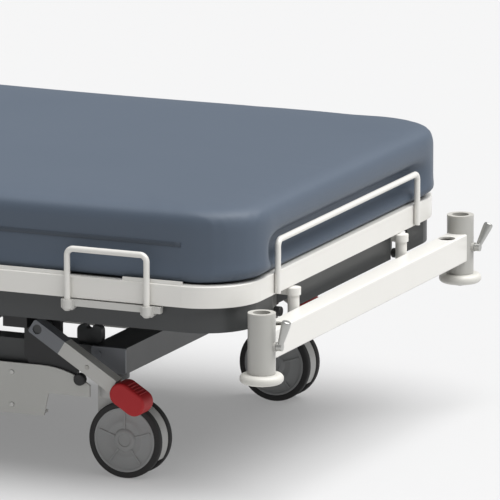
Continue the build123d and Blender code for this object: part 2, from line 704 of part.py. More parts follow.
SADDLE_Z = (RIM_Z - 11.0, RIM_Z)
SADDLE_THICK = 11.0
SADDLE_X = (SIDE_HOOP_X[0] - 8.0, SIDE_HOOP_X[1] + 22.0)
CUP_LOW = RIM_Z - 18.0
HOOP_CUP_R = 8.5
HOOP_CUP_WIDTH = 22.0
SKIRT_FACE_Y = RAIL_HALF_Y - SKIRT_INSET
with BuildPart() as hoop_brackets:
    with BuildSketch(Plane.XY.offset(CUP_LOW)):
        for leg_x in SIDE_HOOP_X:
            with Locations((leg_x, -SIDE_HOOP_Y)):
                Circle(HOOP_CUP_R)
            with Locations((leg_x, -(SKIRT_FACE_Y + SIDE_HOOP_Y) / 2)):
                Rectangle(HOOP_CUP_WIDTH, SIDE_HOOP_Y - SKIRT_FACE_Y)
    extrude(amount=SADDLE_Z[1] - CUP_LOW)
    cup_undersides = hoop_brackets.faces().sort_by(Axis.Z)[:2]
    chamfer(cup_undersides.edges(), length=4.0)
    with BuildSketch(Plane.XY.offset(SADDLE_Z[0])):
        with Locations((sum(SADDLE_X) / 2, -(SKIRT_FACE_Y + SADDLE_THICK / 2))):
            Rectangle(SADDLE_X[1] - SADDLE_X[0], SADDLE_THICK)
    extrude(amount=SADDLE_Z[1] - SADDLE_Z[0])
    with BuildSketch(Plane.XY.offset(SIDE_HOOP_FOOT_Z)):
        for leg_x in SIDE_HOOP_X:
            with Locations((leg_x, -SIDE_HOOP_Y)):
                Circle(HOOP_R)
    extrude(amount=SADDLE_Z[1] - SIDE_HOOP_FOOT_Z, mode=Mode.SUBTRACT)
    mirror(about=Plane.XZ)
    mirror(about=Plane.YZ)
write(hoop_brackets.part, "hoop_brackets")

# ======== folding side rails: two posts and a top bar on each side ========

with BuildPart() as guard_mounts:
    for post_x in GUARD_POST_X:
        with BuildSketch(Plane.XZ.offset(RAIL_HALF_Y)):
            with Locations((post_x, GUARD_PIVOT_Z)):
                RectangleRounded(38.0, RAIL_HEIGHT - 3.0, 6.0)
        extrude(amount=GUARD_POST_Y[0] - RAIL_HALF_Y - 0.5)
        with BuildSketch(Plane.XZ.offset(RAIL_HALF_Y)):
            with Locations((post_x, GUARD_PIVOT_Z)):
                Circle(GUARD_PIN_R)
        extrude(amount=GUARD_POST_Y[1] + 0.8 - RAIL_HALF_Y)
    mirror(about=Plane.XZ)
write(guard_mounts.part, "guard_mounts")


def guard_post(post_x, side_y, tip_gap):
    """Flat post lying towards the head end; 'tip_gap' is the clearance of its tip bore."""
    tip_x = post_x - GUARD_POST_LENGTH
    near_y = GUARD_POST_Y[1] if side_y > 0 else -GUARD_POST_Y[0]
    with BuildPart() as post:
        with BuildSketch(Plane.XZ.offset(-near_y)):
            with Locations(((post_x + tip_x) / 2, GUARD_PIVOT_Z)):
                SlotCenterToCenter(GUARD_POST_LENGTH, 2 * GUARD_POST_HALF)
            with Locations((post_x, GUARD_PIVOT_Z)):
                Circle(GUARD_PIN_R + RUNNING_GAP, mode=Mode.SUBTRACT)
            with Locations((tip_x, GUARD_PIVOT_Z)):
                Circle(GUARD_TIP_PIN_R + tip_gap, mode=Mode.SUBTRACT)
        extrude(amount=GUARD_POST_Y[1] - GUARD_POST_Y[0])
    return post.part


def guard_bar(side_y):
    """Top bar with the pins of the posts' tips."""
    low_x = GUARD_POST_X[0] - GUARD_POST_LENGTH - GUARD_BAR_OVERHANG
    high_x = GUARD_POST_X[1] - GUARD_POST_LENGTH + GUARD_BAR_OVERHANG
    near_y = GUARD_BAR_Y[1] if side_y > 0 else -GUARD_BAR_Y[0]
    pin_y = GUARD_BAR_Y[0] if side_y > 0 else -GUARD_POST_Y[0] - 1.0
    with BuildPart() as bar:
        with BuildSketch(Plane.XZ.offset(-near_y)):
            with Locations(((low_x + high_x) / 2, GUARD_PIVOT_Z)):
                SlotOverall(high_x - low_x, 2 * GUARD_BAR_HALF)
        extrude(amount=GUARD_BAR_Y[1] - GUARD_BAR_Y[0])
        fillet(bar.faces().filter_by(Axis.Y).edges(), radius=6.0)
        with BuildSketch(Plane.XZ.offset(-pin_y)):
            for post_x in GUARD_POST_X:
                with Locations((post_x - GUARD_POST_LENGTH, GUARD_PIVOT_Z)):
                    Circle(GUARD_TIP_PIN_R)
        extrude(amount=GUARD_BAR_Y[0] - GUARD_POST_Y[0] - 1.0)
    return bar.part


OPEN_PIVOT_GAP = 0.4   # radial clearance at the pivots that close a linkage
for side, side_y in (("right", -1), ("left", 1)):
    write(guard_post(GUARD_POST_X[0], side_y, RUNNING_GAP), f"guard_{side}_post_head")
    write(guard_post(GUARD_POST_X[1], side_y, OPEN_PIVOT_GAP), f"guard_{side}_post_foot")
    write(guard_bar(side_y), f"guard_{side}_bar")

# ======== base frame ========

CUP_R = 26.0
with BuildPart() as base_frame:
    beam_mid = (BEAM_LOW + BEAM_HIGH) / 2
    beam_height = BEAM_HIGH - BEAM_LOW
    with BuildSketch(Plane.XZ.offset(-SIDE_BEAM_Y[1])):
        for side_x in (-1, 1):
            with Locations((side_x * sum(CROSS_BEAM_X) / 2, beam_mid)):
                Rectangle(CROSS_BEAM_X[1] - CROSS_BEAM_X[0], beam_height)
                Rectangle(
                    CROSS_BEAM_X[1] - CROSS_BEAM_X[0] - 2 * BEAM_WALL,
                    beam_height - 2 * BEAM_WALL,
                    mode=Mode.SUBTRACT,
                )
    extrude(amount=2 * SIDE_BEAM_Y[1])
    with BuildSketch(Plane.YZ.offset(-CROSS_BEAM_X[0])):
        for side_y in (-1, 1):
            with Locations((side_y * sum(SIDE_BEAM_Y) / 2, beam_mid)):
                Rectangle(SIDE_BEAM_Y[1] - SIDE_BEAM_Y[0], beam_height)
                Rectangle(
                    SIDE_BEAM_Y[1] - SIDE_BEAM_Y[0] - 2 * BEAM_WALL,
                    beam_height - 2 * BEAM_WALL,
                    mode=Mode.SUBTRACT,
                )
    extrude(amount=2 * CROSS_BEAM_X[0])
    # swivel cups under the corners, bored for the castor stems
    castor_spots = [(side_x * CASTOR_X, side_y * CASTOR_Y) for side_x, side_y in CORNERS.values()]
    with BuildSketch(Plane.XY.offset(CASTOR_HEAD_TOP + 0.5)):
        with Locations(*castor_spots):
            Circle(CUP_R)
    extrude(amount=BEAM_LOW - CASTOR_HEAD_TOP - 0.5)
    with BuildSketch(Plane.XY.offset(CASTOR_HEAD_TOP)):
        with Locations(*castor_spots):
            Circle(STEM_R + RUNNING_GAP)
    extrude(amount=BEAM_LOW + BEAM_WALL - CASTOR_HEAD_TOP + 1.0, mode=Mode.SUBTRACT)
    # bearing plates of the lift arms, on the side beams' inner faces
    for arm_x in (FOOT_ARM_X, HEAD_ARM_X):
        for side_y in (-1, 1):
            plate_far = SIDE_BEAM_Y[0] if side_y > 0 else -ARM_Y[1] - 6.0
            with BuildSketch(Plane.XZ.offset(-plate_far)):
                with Locations((arm_x, ARM_PIVOT_Z)):
                    Rectangle(56.0, 44.0)
                    Circle(ARM_PIN_R + RUNNING_GAP, mode=Mode.SUBTRACT)
            extrude(amount=SIDE_BEAM_Y[0] - ARM_Y[1] - 6.0)
    # dropped cross beam that carries the pump
    with BuildSketch(Plane.YZ.offset(PUMP_BEAM_X[0])):
        with Locations((0, PUMP_BEAM_MID_Z)):
            Rectangle(2 * SIDE_BEAM_Y[0], PUMP_BEAM_HEIGHT)
        for side_y in (-1, 1):
            with Locations((side_y * (SIDE_BEAM_Y[0] - 7.0), (PUMP_TOP + BEAM_HIGH) / 2)):
                Rectangle(14.0, BEAM_HIGH - PUMP_TOP)
    extrude(amount=PUMP_BEAM_X[1] - PUMP_BEAM_X[0])
write(base_frame.part, "base_frame")

BEAM_CAP_THICK = 4.0
CAP_SCREW_R = 4.5
CAP_SCREW_HIGH = 2.0
with BuildPart() as beam_caps:
    with BuildSketch(Plane.XZ.offset(SIDE_BEAM_Y[1])):
        with Locations((sum(CROSS_BEAM_X) / 2, (BEAM_LOW + BEAM_HIGH) / 2)):
            RectangleRounded(CROSS_BEAM_X[1] - CROSS_BEAM_X[0], BEAM_HIGH - BEAM_LOW, 3.0)
    extrude(amount=BEAM_CAP_THICK)
    with BuildSketch(Plane.XZ.offset(SIDE_BEAM_Y[1] + BEAM_CAP_THICK)):
        with Locations((CROSS_BEAM_X[0] + 14.0, BEAM_HIGH - 12.0)):
            Circle(CAP_SCREW_R)
    extrude(amount=CAP_SCREW_HIGH)
    mirror(about=Plane.XZ)
    mirror(about=Plane.YZ)
write(beam_caps.part, "beam_caps")

HOOK_X = 664.0
HOOK_WIDTH = 43.0
HOOK_TOP = 241.5
HOOK_THICK = 14.0
HOOK_CORNER = 9.0
HOOK_SLOT_R = 6.5
with BuildPart() as strap_hooks:
    with BuildSketch(Plane.XZ.offset((sum(SIDE_BEAM_Y) - HOOK_THICK) / 2)):
        with Locations((HOOK_X, (BEAM_HIGH + HOOK_TOP) / 2)):
            RectangleRounded(HOOK_WIDTH, HOOK_TOP - BEAM_HIGH, HOOK_CORNER)
        with Locations((HOOK_X, HOOK_TOP)):
            Circle(HOOK_SLOT_R, mode=Mode.SUBTRACT)
    extrude(amount=HOOK_THICK)
    mirror(about=Plane.XZ)
    mirror(about=Plane.YZ)
write(strap_hooks.part, "strap_hooks")

COVER_OUT = 335.0
COVER_WALL = 4.0
COVER_TOP = 175.0
COVER_LOW = 92.0
COVER_SHOULDER_X = 590.0
COVER_TIP = (677.0, 149.0)
COVER_STEP_Z = 130.0   # clear above the turning castors
COVER_STEP_X = 604.0
KNOB_SPOT = (662.0, 159.0)
COVER_KNOB_R = 10.0
COVER_KNOB_LENGTH = 10.0
COVER_RETURN_X = 560.0
cover_inner = COVER_OUT - COVER_WALL
with BuildPart() as side_covers:
    with BuildSketch(Plane.XZ.offset(cover_inner)):
        with BuildLine():
            Line((0, COVER_LOW), (0, COVER_TOP))
            Line((0, COVER_TOP), (COVER_SHOULDER_X, COVER_TOP))
            ThreePointArc((COVER_SHOULDER_X, COVER_TOP), (636.0, 168.5), COVER_TIP)
            Line(COVER_TIP, (COVER_TIP[0], COVER_STEP_Z))
            Line((COVER_TIP[0], COVER_STEP_Z), (COVER_STEP_X, COVER_STEP_Z))
            Line((COVER_STEP_X, COVER_STEP_Z), (COVER_STEP_X - 8.0, COVER_LOW))
            Line((COVER_STEP_X - 8.0, COVER_LOW), (0, COVER_LOW))
        make_face()
        with Locations(KNOB_SPOT):
            Circle(COVER_KNOB_R - 2.0)
    extrude(amount=COVER_WALL)
    with BuildSketch(Plane.XY.offset(BEAM_LOW - COVER_WALL)):
        with Locations((COVER_RETURN_X / 2, -(SIDE_BEAM_Y[1] - 16.0 + cover_inner) / 2)):
            Rectangle(COVER_RETURN_X, cover_inner - SIDE_BEAM_Y[1] + 16.0)
    extrude(amount=COVER_WALL)
    with BuildSketch(Plane.XY.offset(COVER_LOW)):
        with Locations(((COVER_STEP_X - 14.0) / 2, -(cover_inner - 13.0))):
            Rectangle(COVER_STEP_X - 14.0, 26.0)
    extrude(amount=COVER_WALL)
    mirror(about=Plane.YZ)
    mirror(about=Plane.XZ)
write(side_covers.part, "side_covers")

with BuildPart() as cover_knobs:
    with BuildSketch(Plane.XZ.offset(COVER_OUT)):
        with Locations(KNOB_SPOT):
            Circle(COVER_KNOB_R)
    extrude(amount=COVER_KNOB_LENGTH)
    fillet(cover_knobs.faces().sort_by(Axis.Y)[0].edges(), radius=3.0)
    mirror(about=Plane.XZ)
    mirror(about=Plane.YZ)
write(cover_knobs.part, "cover_knobs")

# ======== parallelogram lift ========


def lift_arms(pivot_x, top_gap):
    """Pair of arms on a torsion tube; 'top_gap' is the radial clearance at their top pins."""
    arm_plane = Plane(
        origin=(pivot_x, -ARM_Y[0], ARM_PIVOT_Z),
        x_dir=(cos(radians(ARM_REST)), 0, sin(radians(ARM_REST))),
        z_dir=(0, -1, 0),
    )
    with BuildPart() as arms:
        with BuildSketch(arm_plane):
            with Locations((ARM_LENGTH / 2, 0)):
                SlotCenterToCenter(ARM_LENGTH, 2 * ARM_HALF - 4.0)
            Circle(ARM_HALF)
            with Locations((ARM_LENGTH, 0)):
                Circle(ARM_PIN_R + top_gap, mode=Mode.SUBTRACT)
        extrude(amount=ARM_Y[1] - ARM_Y[0])
        with BuildSketch(arm_plane.offset(ARM_Y[1] - ARM_Y[0])):
            Circle(ARM_PIN_R)
        extrude(amount=18.0)
        mirror(about=Plane.XZ)
        with BuildSketch(Plane.XZ.offset(-ARM_Y[0])):
            with Locations((pivot_x, ARM_PIVOT_Z)):
                Circle(TORSION_R)
        extrude(amount=2 * ARM_Y[0])
    return arms.part


LIFT_SLOT_HALF = SPRING_ROD_R + 1.4
LIFT_LEVER_THICK = 10.0
with BuildPart() as foot_arms:
    add(lift_arms(FOOT_ARM_X, RUNNING_GAP))
    lift_lever_plane = Plane(
        origin=(FOOT_ARM_X, LIFT_LEVER_THICK / 2, ARM_PIVOT_Z),
        x_dir=(-sin(radians(LIFT_HALF_ANGLE)), 0, -cos(radians(LIFT_HALF_ANGLE))),
        z_dir=(0, -1, 0),
    )
    lift_far = LIFT_LEVER_H / cos(radians(LIFT_HALF_ANGLE))
    with BuildSketch(lift_lever_plane):
        with Locations(((lift_far + 14.0) / 2, 0)):
            Rectangle(lift_far + 14.0, 2 * LIFT_LEVER_HALF)
        with Locations(((LIFT_LEVER_H + lift_far) / 2, 0)):
            SlotCenterToCenter(
                lift_far - LIFT_LEVER_H + 2 * SLOT_SPARE,
                2 * LIFT_SLOT_HALF,
                mode=Mode.SUBTRACT,
            )
    extrude(amount=LIFT_LEVER_THICK)
write(foot_arms.part, "lift_arms_foot")
write(lift_arms(HEAD_ARM_X, OPEN_PIVOT_GAP), "lift_arms_head")

with BuildPart() as lift_cylinder:
    with BuildSketch(Plane.YZ.offset(CYLINDER_REAR_X)):
        with Locations((0, LIFT_PIN_Z)):
            Circle(CYLINDER_R)
    extrude(amount=CYLINDER_FRONT_X - CYLINDER_REAR_X)
    with BuildSketch(Plane.YZ.offset(CYLINDER_REAR_X + 12.0)):
        with Locations((0, LIFT_PIN_Z)):
            Circle(CYLINDER_R - 4.0)
    extrude(amount=CYLINDER_FRONT_X - CYLINDER_REAR_X - 24.0, mode=Mode.SUBTRACT)
    with BuildSketch(Plane.YZ.offset(CYLINDER_FRONT_X - 12.0)):
        with Locations((0, LIFT_PIN_Z)):
            Circle(LIFT_ROD_R + RUNNING_GAP)
    extrude(amount=12.0, mode=Mode.SUBTRACT)
write(lift_cylinder.part, "lift_cylinder")
write(
    forked_rod(LIFT_PIN_X, LIFT_PIN_Z, -1, LIFT_ROD_R, -160.0, CYLINDER_R - 4.1, LIFT_LEVER_THICK),
    "lift_rod",
)

with BuildPart() as pump_body:
    with BuildSketch(Plane.XY.offset(PUMP_LOW)):
        with Locations((sum(PUMP_X) / 2, 0)):
            RectangleRounded(PUMP_X[1] - PUMP_X[0], 110.0, 14.0)
    extrude(amount=PUMP_TOP - PUMP_LOW)
    with BuildSketch(Plane.XY.offset(PUMP_TOP)):
        with Locations((PUMP_X[1] - 15.0, 0)):
            Rectangle(30.0, 60.0)
    extrude(amount=14.0)
write(pump_body.part, "pump_body")

# ======== foot pedals on a common shaft ========

BRACKET_OUT = 330.0
BRACKET_X = (560.0, 624.0)
BRACKET_Z = (181.0, 257.0)
APRON_X = (566.0, 652.0)
APRON_Z = (152.0, 200.0)
BLOCK_X = (541.0, 583.0)
BLOCK_Z = (242.0, 260.0)
PEDAL_HALF = 12.0
NOSE_LENGTH = 12.0     # knuckle behind the shaft's middle
NOSE_CORNER = 4.0
KNUCKLE_END = 50.0
ARM_END = PEDAL_REACH - 28.0
PAD_LENGTH = 64.0
PAD_HEIGHT = 38.0
PAD_SPARE_Y = 8.0      # the pad stands out on both sides of its arm
SHAFT_HALF = PEDAL_Y[1] - 2.0
with BuildPart() as pedal_brackets:
    with BuildSketch(Plane.XZ.offset(SIDE_BEAM_Y[1])):
        with Locations((sum(BRACKET_X) / 2, sum(BRACKET_Z) / 2)):
            RectangleRounded(BRACKET_X[1] - BRACKET_X[0], BRACKET_Z[1] - BRACKET_Z[0], 8.0)
        with Locations((sum(APRON_X) / 2, sum(APRON_Z) / 2)):
            RectangleRounded(APRON_X[1] - APRON_X[0], APRON_Z[1] - APRON_Z[0], 8.0)
        with Locations((PEDAL_X, PEDAL_Z)):
            Circle(PEDAL_SHAFT_R + RUNNING_GAP, mode=Mode.SUBTRACT)
    extrude(amount=BRACKET_OUT - SIDE_BEAM_Y[1])
    with BuildSketch(Plane.XZ.offset(SIDE_BEAM_Y[1])):
        with Locations((sum(BLOCK_X) / 2, sum(BLOCK_Z) / 2)):
            Rectangle(BLOCK_X[1] - BLOCK_X[0], BLOCK_Z[1] - BLOCK_Z[0])
    extrude(amount=SHAFT_HALF - SIDE_BEAM_Y[1])
    mirror(about=Plane.XZ)
write(pedal_brackets.part, "pedal_brackets")

pedal_plane = Plane(
    origin=(PEDAL_X, -PEDAL_Y[0], PEDAL_Z),
    x_dir=(cos(radians(PEDAL_SLOPE)), 0, -sin(radians(PEDAL_SLOPE))),
    z_dir=(0, -1, 0),
)
with BuildPart() as pedal_shaft:
    with BuildSketch(Plane.XZ.offset(-SHAFT_HALF)):
        with Locations((PEDAL_X, PEDAL_Z)):
            Circle(PEDAL_SHAFT_R)
    extrude(amount=2 * SHAFT_HALF)
write(pedal_shaft.part, "pedal_shaft")

with BuildPart() as pedal_knuckles:
    with BuildSketch(pedal_plane) as knuckle_outline:
        with Locations(((KNUCKLE_END - NOSE_LENGTH) / 2, 0)):
            Rectangle(KNUCKLE_END + NOSE_LENGTH, 2 * PEDAL_HALF)
        fillet(knuckle_outline.vertices().sort_by(Axis.X)[:2], radius=NOSE_CORNER)
        Circle(PEDAL_SHAFT_R, mode=Mode.SUBTRACT)
    extrude(amount=PEDAL_Y[1] - PEDAL_Y[0])
    mirror(about=Plane.XZ)
write(pedal_knuckles.part, "pedal_knuckles")

with BuildPart() as pedal_arms:
    with BuildSketch(pedal_plane):
        with Locations(((KNUCKLE_END + ARM_END) / 2, 0)):
            Rectangle(ARM_END - KNUCKLE_END, 2 * PEDAL_HALF)
    extrude(amount=PEDAL_Y[1] - PEDAL_Y[0])
    mirror(about=Plane.XZ)
write(pedal_arms.part, "pedal_arms")

with BuildPart() as pedal_pads:
    with BuildSketch(pedal_plane.offset(-PAD_SPARE_Y)):
        with Locations((ARM_END + PAD_LENGTH / 2, 0)):
            RectangleRounded(PAD_LENGTH, PAD_HEIGHT, 18.0)
    extrude(amount=PEDAL_Y[1] - PEDAL_Y[0] + 2 * PAD_SPARE_Y)
    fillet(pedal_pads.faces().filter_by(Axis.Y).edges(), radius=4.0)
    mirror(about=Plane.XZ)
write(pedal_pads.part, "pedal_pads")

# ======== twin-wheel castors ========


def castor_hood(side_x, side_y):
    """Housing between the two wheels, with the swivel stem and the wheel axle."""
    spot_x = side_x * CASTOR_X
    spot_y = side_y * CASTOR_Y
    axle_x = spot_x + TRAIL
    with BuildPart() as hood:
        with BuildSketch(Plane.XZ.offset(-spot_y - HOOD_HALF_Y)):
            with Locations((axle_x, WHEEL_R)):
                Circle(HOOD_R)
            with Locations((spot_x, 120.0)):
                Rectangle(44.0, 60.0)
            with Locations((axle_x, 0)):
                Rectangle(4 * WHEEL_R, 60.0, mode=Mode.SUBTRACT)
        extrude(amount=2 * HOOD_HALF_Y)
        with BuildSketch(Plane.XY.offset(WHEEL_R * 2 + 3.0)):
            with Locations((spot_x, spot_y)):
                Circle(22.0)
        extrude(amount=CASTOR_HEAD_TOP - WHEEL_R * 2 - 3.0)
        with BuildSketch(Plane.XY.offset(CASTOR_HEAD_TOP)):
            with Locations((spot_x, spot_y)):
                Circle(STEM_R)
        extrude(amount=BEAM_HIGH - BEAM_WALL - CASTOR_HEAD_TOP - 6.0)
        with BuildSketch(Plane.XZ.offset(-spot_y - WHEEL_Y[1] + 4.0)):
            with Locations((axle_x, WHEEL_R)):
                Circle(STEM_R - 2.0)
        extrude(amount=2 * (WHEEL_Y[1] - 4.0))
    return hood.part


def castor_wheels(side_x, side_y):
    """Pair of wheels on one axle."""
    spot_y = side_y * CASTOR_Y
    axle_x = side_x * CASTOR_X + TRAIL
    with BuildPart() as wheels:
        for half in (-1, 1):
            start = spot_y + (WHEEL_Y[1] if half > 0 else -WHEEL_Y[0])
            with BuildSketch(Plane.XZ.offset(-start)):
                with Locations((axle_x, WHEEL_R)):
                    Circle(WHEEL_R)
            extrude(amount=WHEEL_Y[1] - WHEEL_Y[0])
        fillet(wheels.edges().filter_by(GeomType.CIRCLE), radius=2.5)
        with BuildSketch(Plane.XZ.offset(-spot_y - WHEEL_Y[1] + 4.0 - RUNNING_GAP)):
            with Locations((axle_x, WHEEL_R)):
                Circle(STEM_R - 2.0 + RUNNING_GAP)
        extrude(amount=2 * (WHEEL_Y[1] - 4.0 + RUNNING_GAP), mode=Mode.SUBTRACT)
    return wheels.part


for corner, (side_x, side_y) in CORNERS.items():
    write(castor_hood(side_x, side_y), f"castor_{corner}_hood")
    write(castor_wheels(side_x, side_y), f"castor_{corner}_wheels")
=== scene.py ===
import json
import math

import bmesh
import bpy
import numpy as np
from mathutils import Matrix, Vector
from mathutils.bvhtree import BVHTree


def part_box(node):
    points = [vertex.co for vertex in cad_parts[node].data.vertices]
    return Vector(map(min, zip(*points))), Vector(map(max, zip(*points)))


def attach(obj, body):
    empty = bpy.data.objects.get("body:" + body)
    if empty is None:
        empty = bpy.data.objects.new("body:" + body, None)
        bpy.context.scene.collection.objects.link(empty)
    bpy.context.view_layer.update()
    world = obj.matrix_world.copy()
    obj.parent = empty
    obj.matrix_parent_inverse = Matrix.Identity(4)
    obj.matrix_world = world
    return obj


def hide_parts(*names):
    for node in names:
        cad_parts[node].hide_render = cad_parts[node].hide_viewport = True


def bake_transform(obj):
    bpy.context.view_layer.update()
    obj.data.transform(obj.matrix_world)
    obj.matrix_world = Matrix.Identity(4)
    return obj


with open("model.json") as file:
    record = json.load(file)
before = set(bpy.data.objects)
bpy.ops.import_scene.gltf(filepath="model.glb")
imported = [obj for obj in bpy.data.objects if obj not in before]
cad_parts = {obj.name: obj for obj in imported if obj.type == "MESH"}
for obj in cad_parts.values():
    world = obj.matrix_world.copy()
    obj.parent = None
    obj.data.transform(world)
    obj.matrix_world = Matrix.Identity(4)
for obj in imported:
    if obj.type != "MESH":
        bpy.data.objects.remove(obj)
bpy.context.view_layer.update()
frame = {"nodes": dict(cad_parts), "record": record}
scene = bpy.context.scene
nodes = frame["nodes"]
corners = ("foot_right", "foot_left", "head_right", "head_left")

# camera, floor and light
cameraSet = {
    "spot": (6.8645, -13.8508, 3.5489),  # metres
    "azimuth": 23.61,  # degrees
    "elevation": 12.07,
    "lens": 686.7,  # mm on a 36 mm sensor
}
lightSet = {
    "skyStrength": 0.26,
    "keyStrength": 4.9,
    "keyTurn": (-4.0, 22.0, 0.0),  # degrees
    "keyAngle": 64.0,
    "floorColor": (0.42, 0.42, 0.422),
    "floorGlow": 0.23,
    "floorHalf": 60.0,
    "floorRoughness": 0.6,
    "floorSpecular": 0.2,
}


def addCamera():
    data = bpy.data.cameras.new("viewCamera")
    data.lens = cameraSet["lens"]
    data.sensor_width = 36.0
    data.clip_end = 100.0
    cam = bpy.data.objects.new("viewCamera", data)
    cam.location = cameraSet["spot"]
    cam.rotation_euler = (math.radians(90 - cameraSet["elevation"]), 0, math.radians(cameraSet["azimuth"]))
    scene.collection.objects.link(cam)
    scene.camera = cam


def addStage():
    scene.view_settings.view_transform = "Standard"
    world = bpy.data.worlds.new("softSky")
    world.use_nodes = True
    sky = world.node_tree.nodes["Background"]
    sky.inputs["Color"].default_value = (1.0, 1.0, 1.0, 1.0)
    sky.inputs["Strength"].default_value = lightSet["skyStrength"]
    scene.world = world
    key = bpy.data.lights.new("keyLight", "SUN")
    key.energy = lightSet["keyStrength"]
    key.angle = math.radians(lightSet["keyAngle"])
    lamp = bpy.data.objects.new("keyLight", key)
    lamp.rotation_euler = [math.radians(a) for a in lightSet["keyTurn"]]
    scene.collection.objects.link(lamp)
    mesh = bpy.data.meshes.new("studioFloor")
    half = lightSet["floorHalf"]
    edges = [(-half, -half, 0), (half, -half, 0), (half, half, 0), (-half, half, 0)]
    mesh.from_pydata(edges, [], [(0, 1, 2, 3)])
    floor = bpy.data.objects.new("studioFloor", mesh)
    scene.collection.objects.link(floor)
    material = bpy.data.materials.new("studioFloor")
    material.use_nodes = True
    shader = material.node_tree.nodes["Principled BSDF"]
    shader.inputs["Base Color"].default_value = (*lightSet["floorColor"], 1)
    shader.inputs["Roughness"].default_value = lightSet["floorRoughness"]
    shader.inputs["Specular IOR Level"].default_value = lightSet["floorSpecular"]
    shader.inputs["Emission Color"].default_value = (1.0, 1.0, 1.0, 1.0)
    shader.inputs["Emission Strength"].default_value = lightSet["floorGlow"]
    mesh.materials.append(material)


addCamera()
addStage()
print("camera and studio ready")

# shader groups


def newGroup(name, inputs, outputs):
    group = bpy.data.node_groups.new(name, "ShaderNodeTree")
    for label, kind, value in inputs:
        socket = group.interface.new_socket(label, in_out="INPUT", socket_type=kind)
        if value is not None:
            socket.default_value = value
    for label, kind in outputs:
        group.interface.new_socket(label, in_out="OUTPUT", socket_type=kind)
    return group, group.nodes.new("NodeGroupInput"), group.nodes.new("NodeGroupOutput")


def makeGrainGroup():
    group, entry, leave = newGroup(
        "surfaceGrain",
        [("Vector", "NodeSocketVector", None), ("Fine Scale", "NodeSocketFloat", 900.0),
         ("Cloud Scale", "NodeSocketFloat", 6.0)],
        [("Height", "NodeSocketFloat"), ("Cloud", "NodeSocketFloat")],
    )
    fine = group.nodes.new("ShaderNodeTexNoise")
    cloud = group.nodes.new("ShaderNodeTexNoise")
    fine.inputs["Detail"].default_value = 3.0
    cloud.inputs["Detail"].default_value = 5.0
    cloud.inputs["Roughness"].default_value = 0.6
    group.links.new(entry.outputs["Vector"], fine.inputs["Vector"])
    group.links.new(entry.outputs["Vector"], cloud.inputs["Vector"])
    group.links.new(entry.outputs["Fine Scale"], fine.inputs["Scale"])
    group.links.new(entry.outputs["Cloud Scale"], cloud.inputs["Scale"])
    group.links.new(fine.outputs["Fac"], leave.inputs["Height"])
    group.links.new(cloud.outputs["Fac"], leave.inputs["Cloud"])
    return group


def makeScuffGroup():
    group, entry, leave = newGroup(
        "scuffMask",
        [("Vector", "NodeSocketVector", None), ("Scale", "NodeSocketFloat", 14.0),
         ("Amount", "NodeSocketFloat", 0.35)],
        [("Mask", "NodeSocketFloat")],
    )
    stretch = group.nodes.new("ShaderNodeMapping")
    stretch.inputs["Scale"].default_value = (1.0, 1.0, 3.5)
    noise = group.nodes.new("ShaderNodeTexNoise")
    noise.inputs["Detail"].default_value = 8.0
    noise.inputs["Roughness"].default_value = 0.72
    ramp = group.nodes.new("ShaderNodeMapRange")
    ramp.inputs["From Min"].default_value = 0.62
    ramp.inputs["From Max"].default_value = 0.78
    scaleMask = group.nodes.new("ShaderNodeMath")
    scaleMask.operation = "MULTIPLY"
    group.links.new(entry.outputs["Vector"], stretch.inputs["Vector"])
    group.links.new(stretch.outputs["Vector"], noise.inputs["Vector"])
    group.links.new(entry.outputs["Scale"], noise.inputs["Scale"])
    group.links.new(noise.outputs["Fac"], ramp.inputs["Value"])
    group.links.new(ramp.outputs["Result"], scaleMask.inputs[0])
    group.links.new(entry.outputs["Amount"], scaleMask.inputs[1])
    group.links.new(scaleMask.outputs["Value"], leave.inputs["Mask"])
    return group


def makeWeaveGroup():
    group, entry, leave = newGroup(
        "coverWeave",
        [("Vector", "NodeSocketVector", None), ("Threads", "NodeSocketFloat", 700.0)],
        [("Height", "NodeSocketFloat")],
    )
    total = group.nodes.new("ShaderNodeMath")
    total.operation = "ADD"
    for index, axis in enumerate(("X", "Y")):
        wave = group.nodes.new("ShaderNodeTexWave")
        wave.bands_direction = axis
        wave.inputs["Distortion"].default_value = 0.6
        wave.inputs["Detail"].default_value = 1.0
        group.links.new(entry.outputs["Vector"], wave.inputs["Vector"])
        group.links.new(entry.outputs["Threads"], wave.inputs["Scale"])
        group.links.new(wave.outputs["Fac"], total.inputs[index])
    group.links.new(total.outputs["Value"], leave.inputs["Height"])
    return group


grainGroup = makeGrainGroup()
scuffGroup = makeScuffGroup()
weaveGroup = makeWeaveGroup()

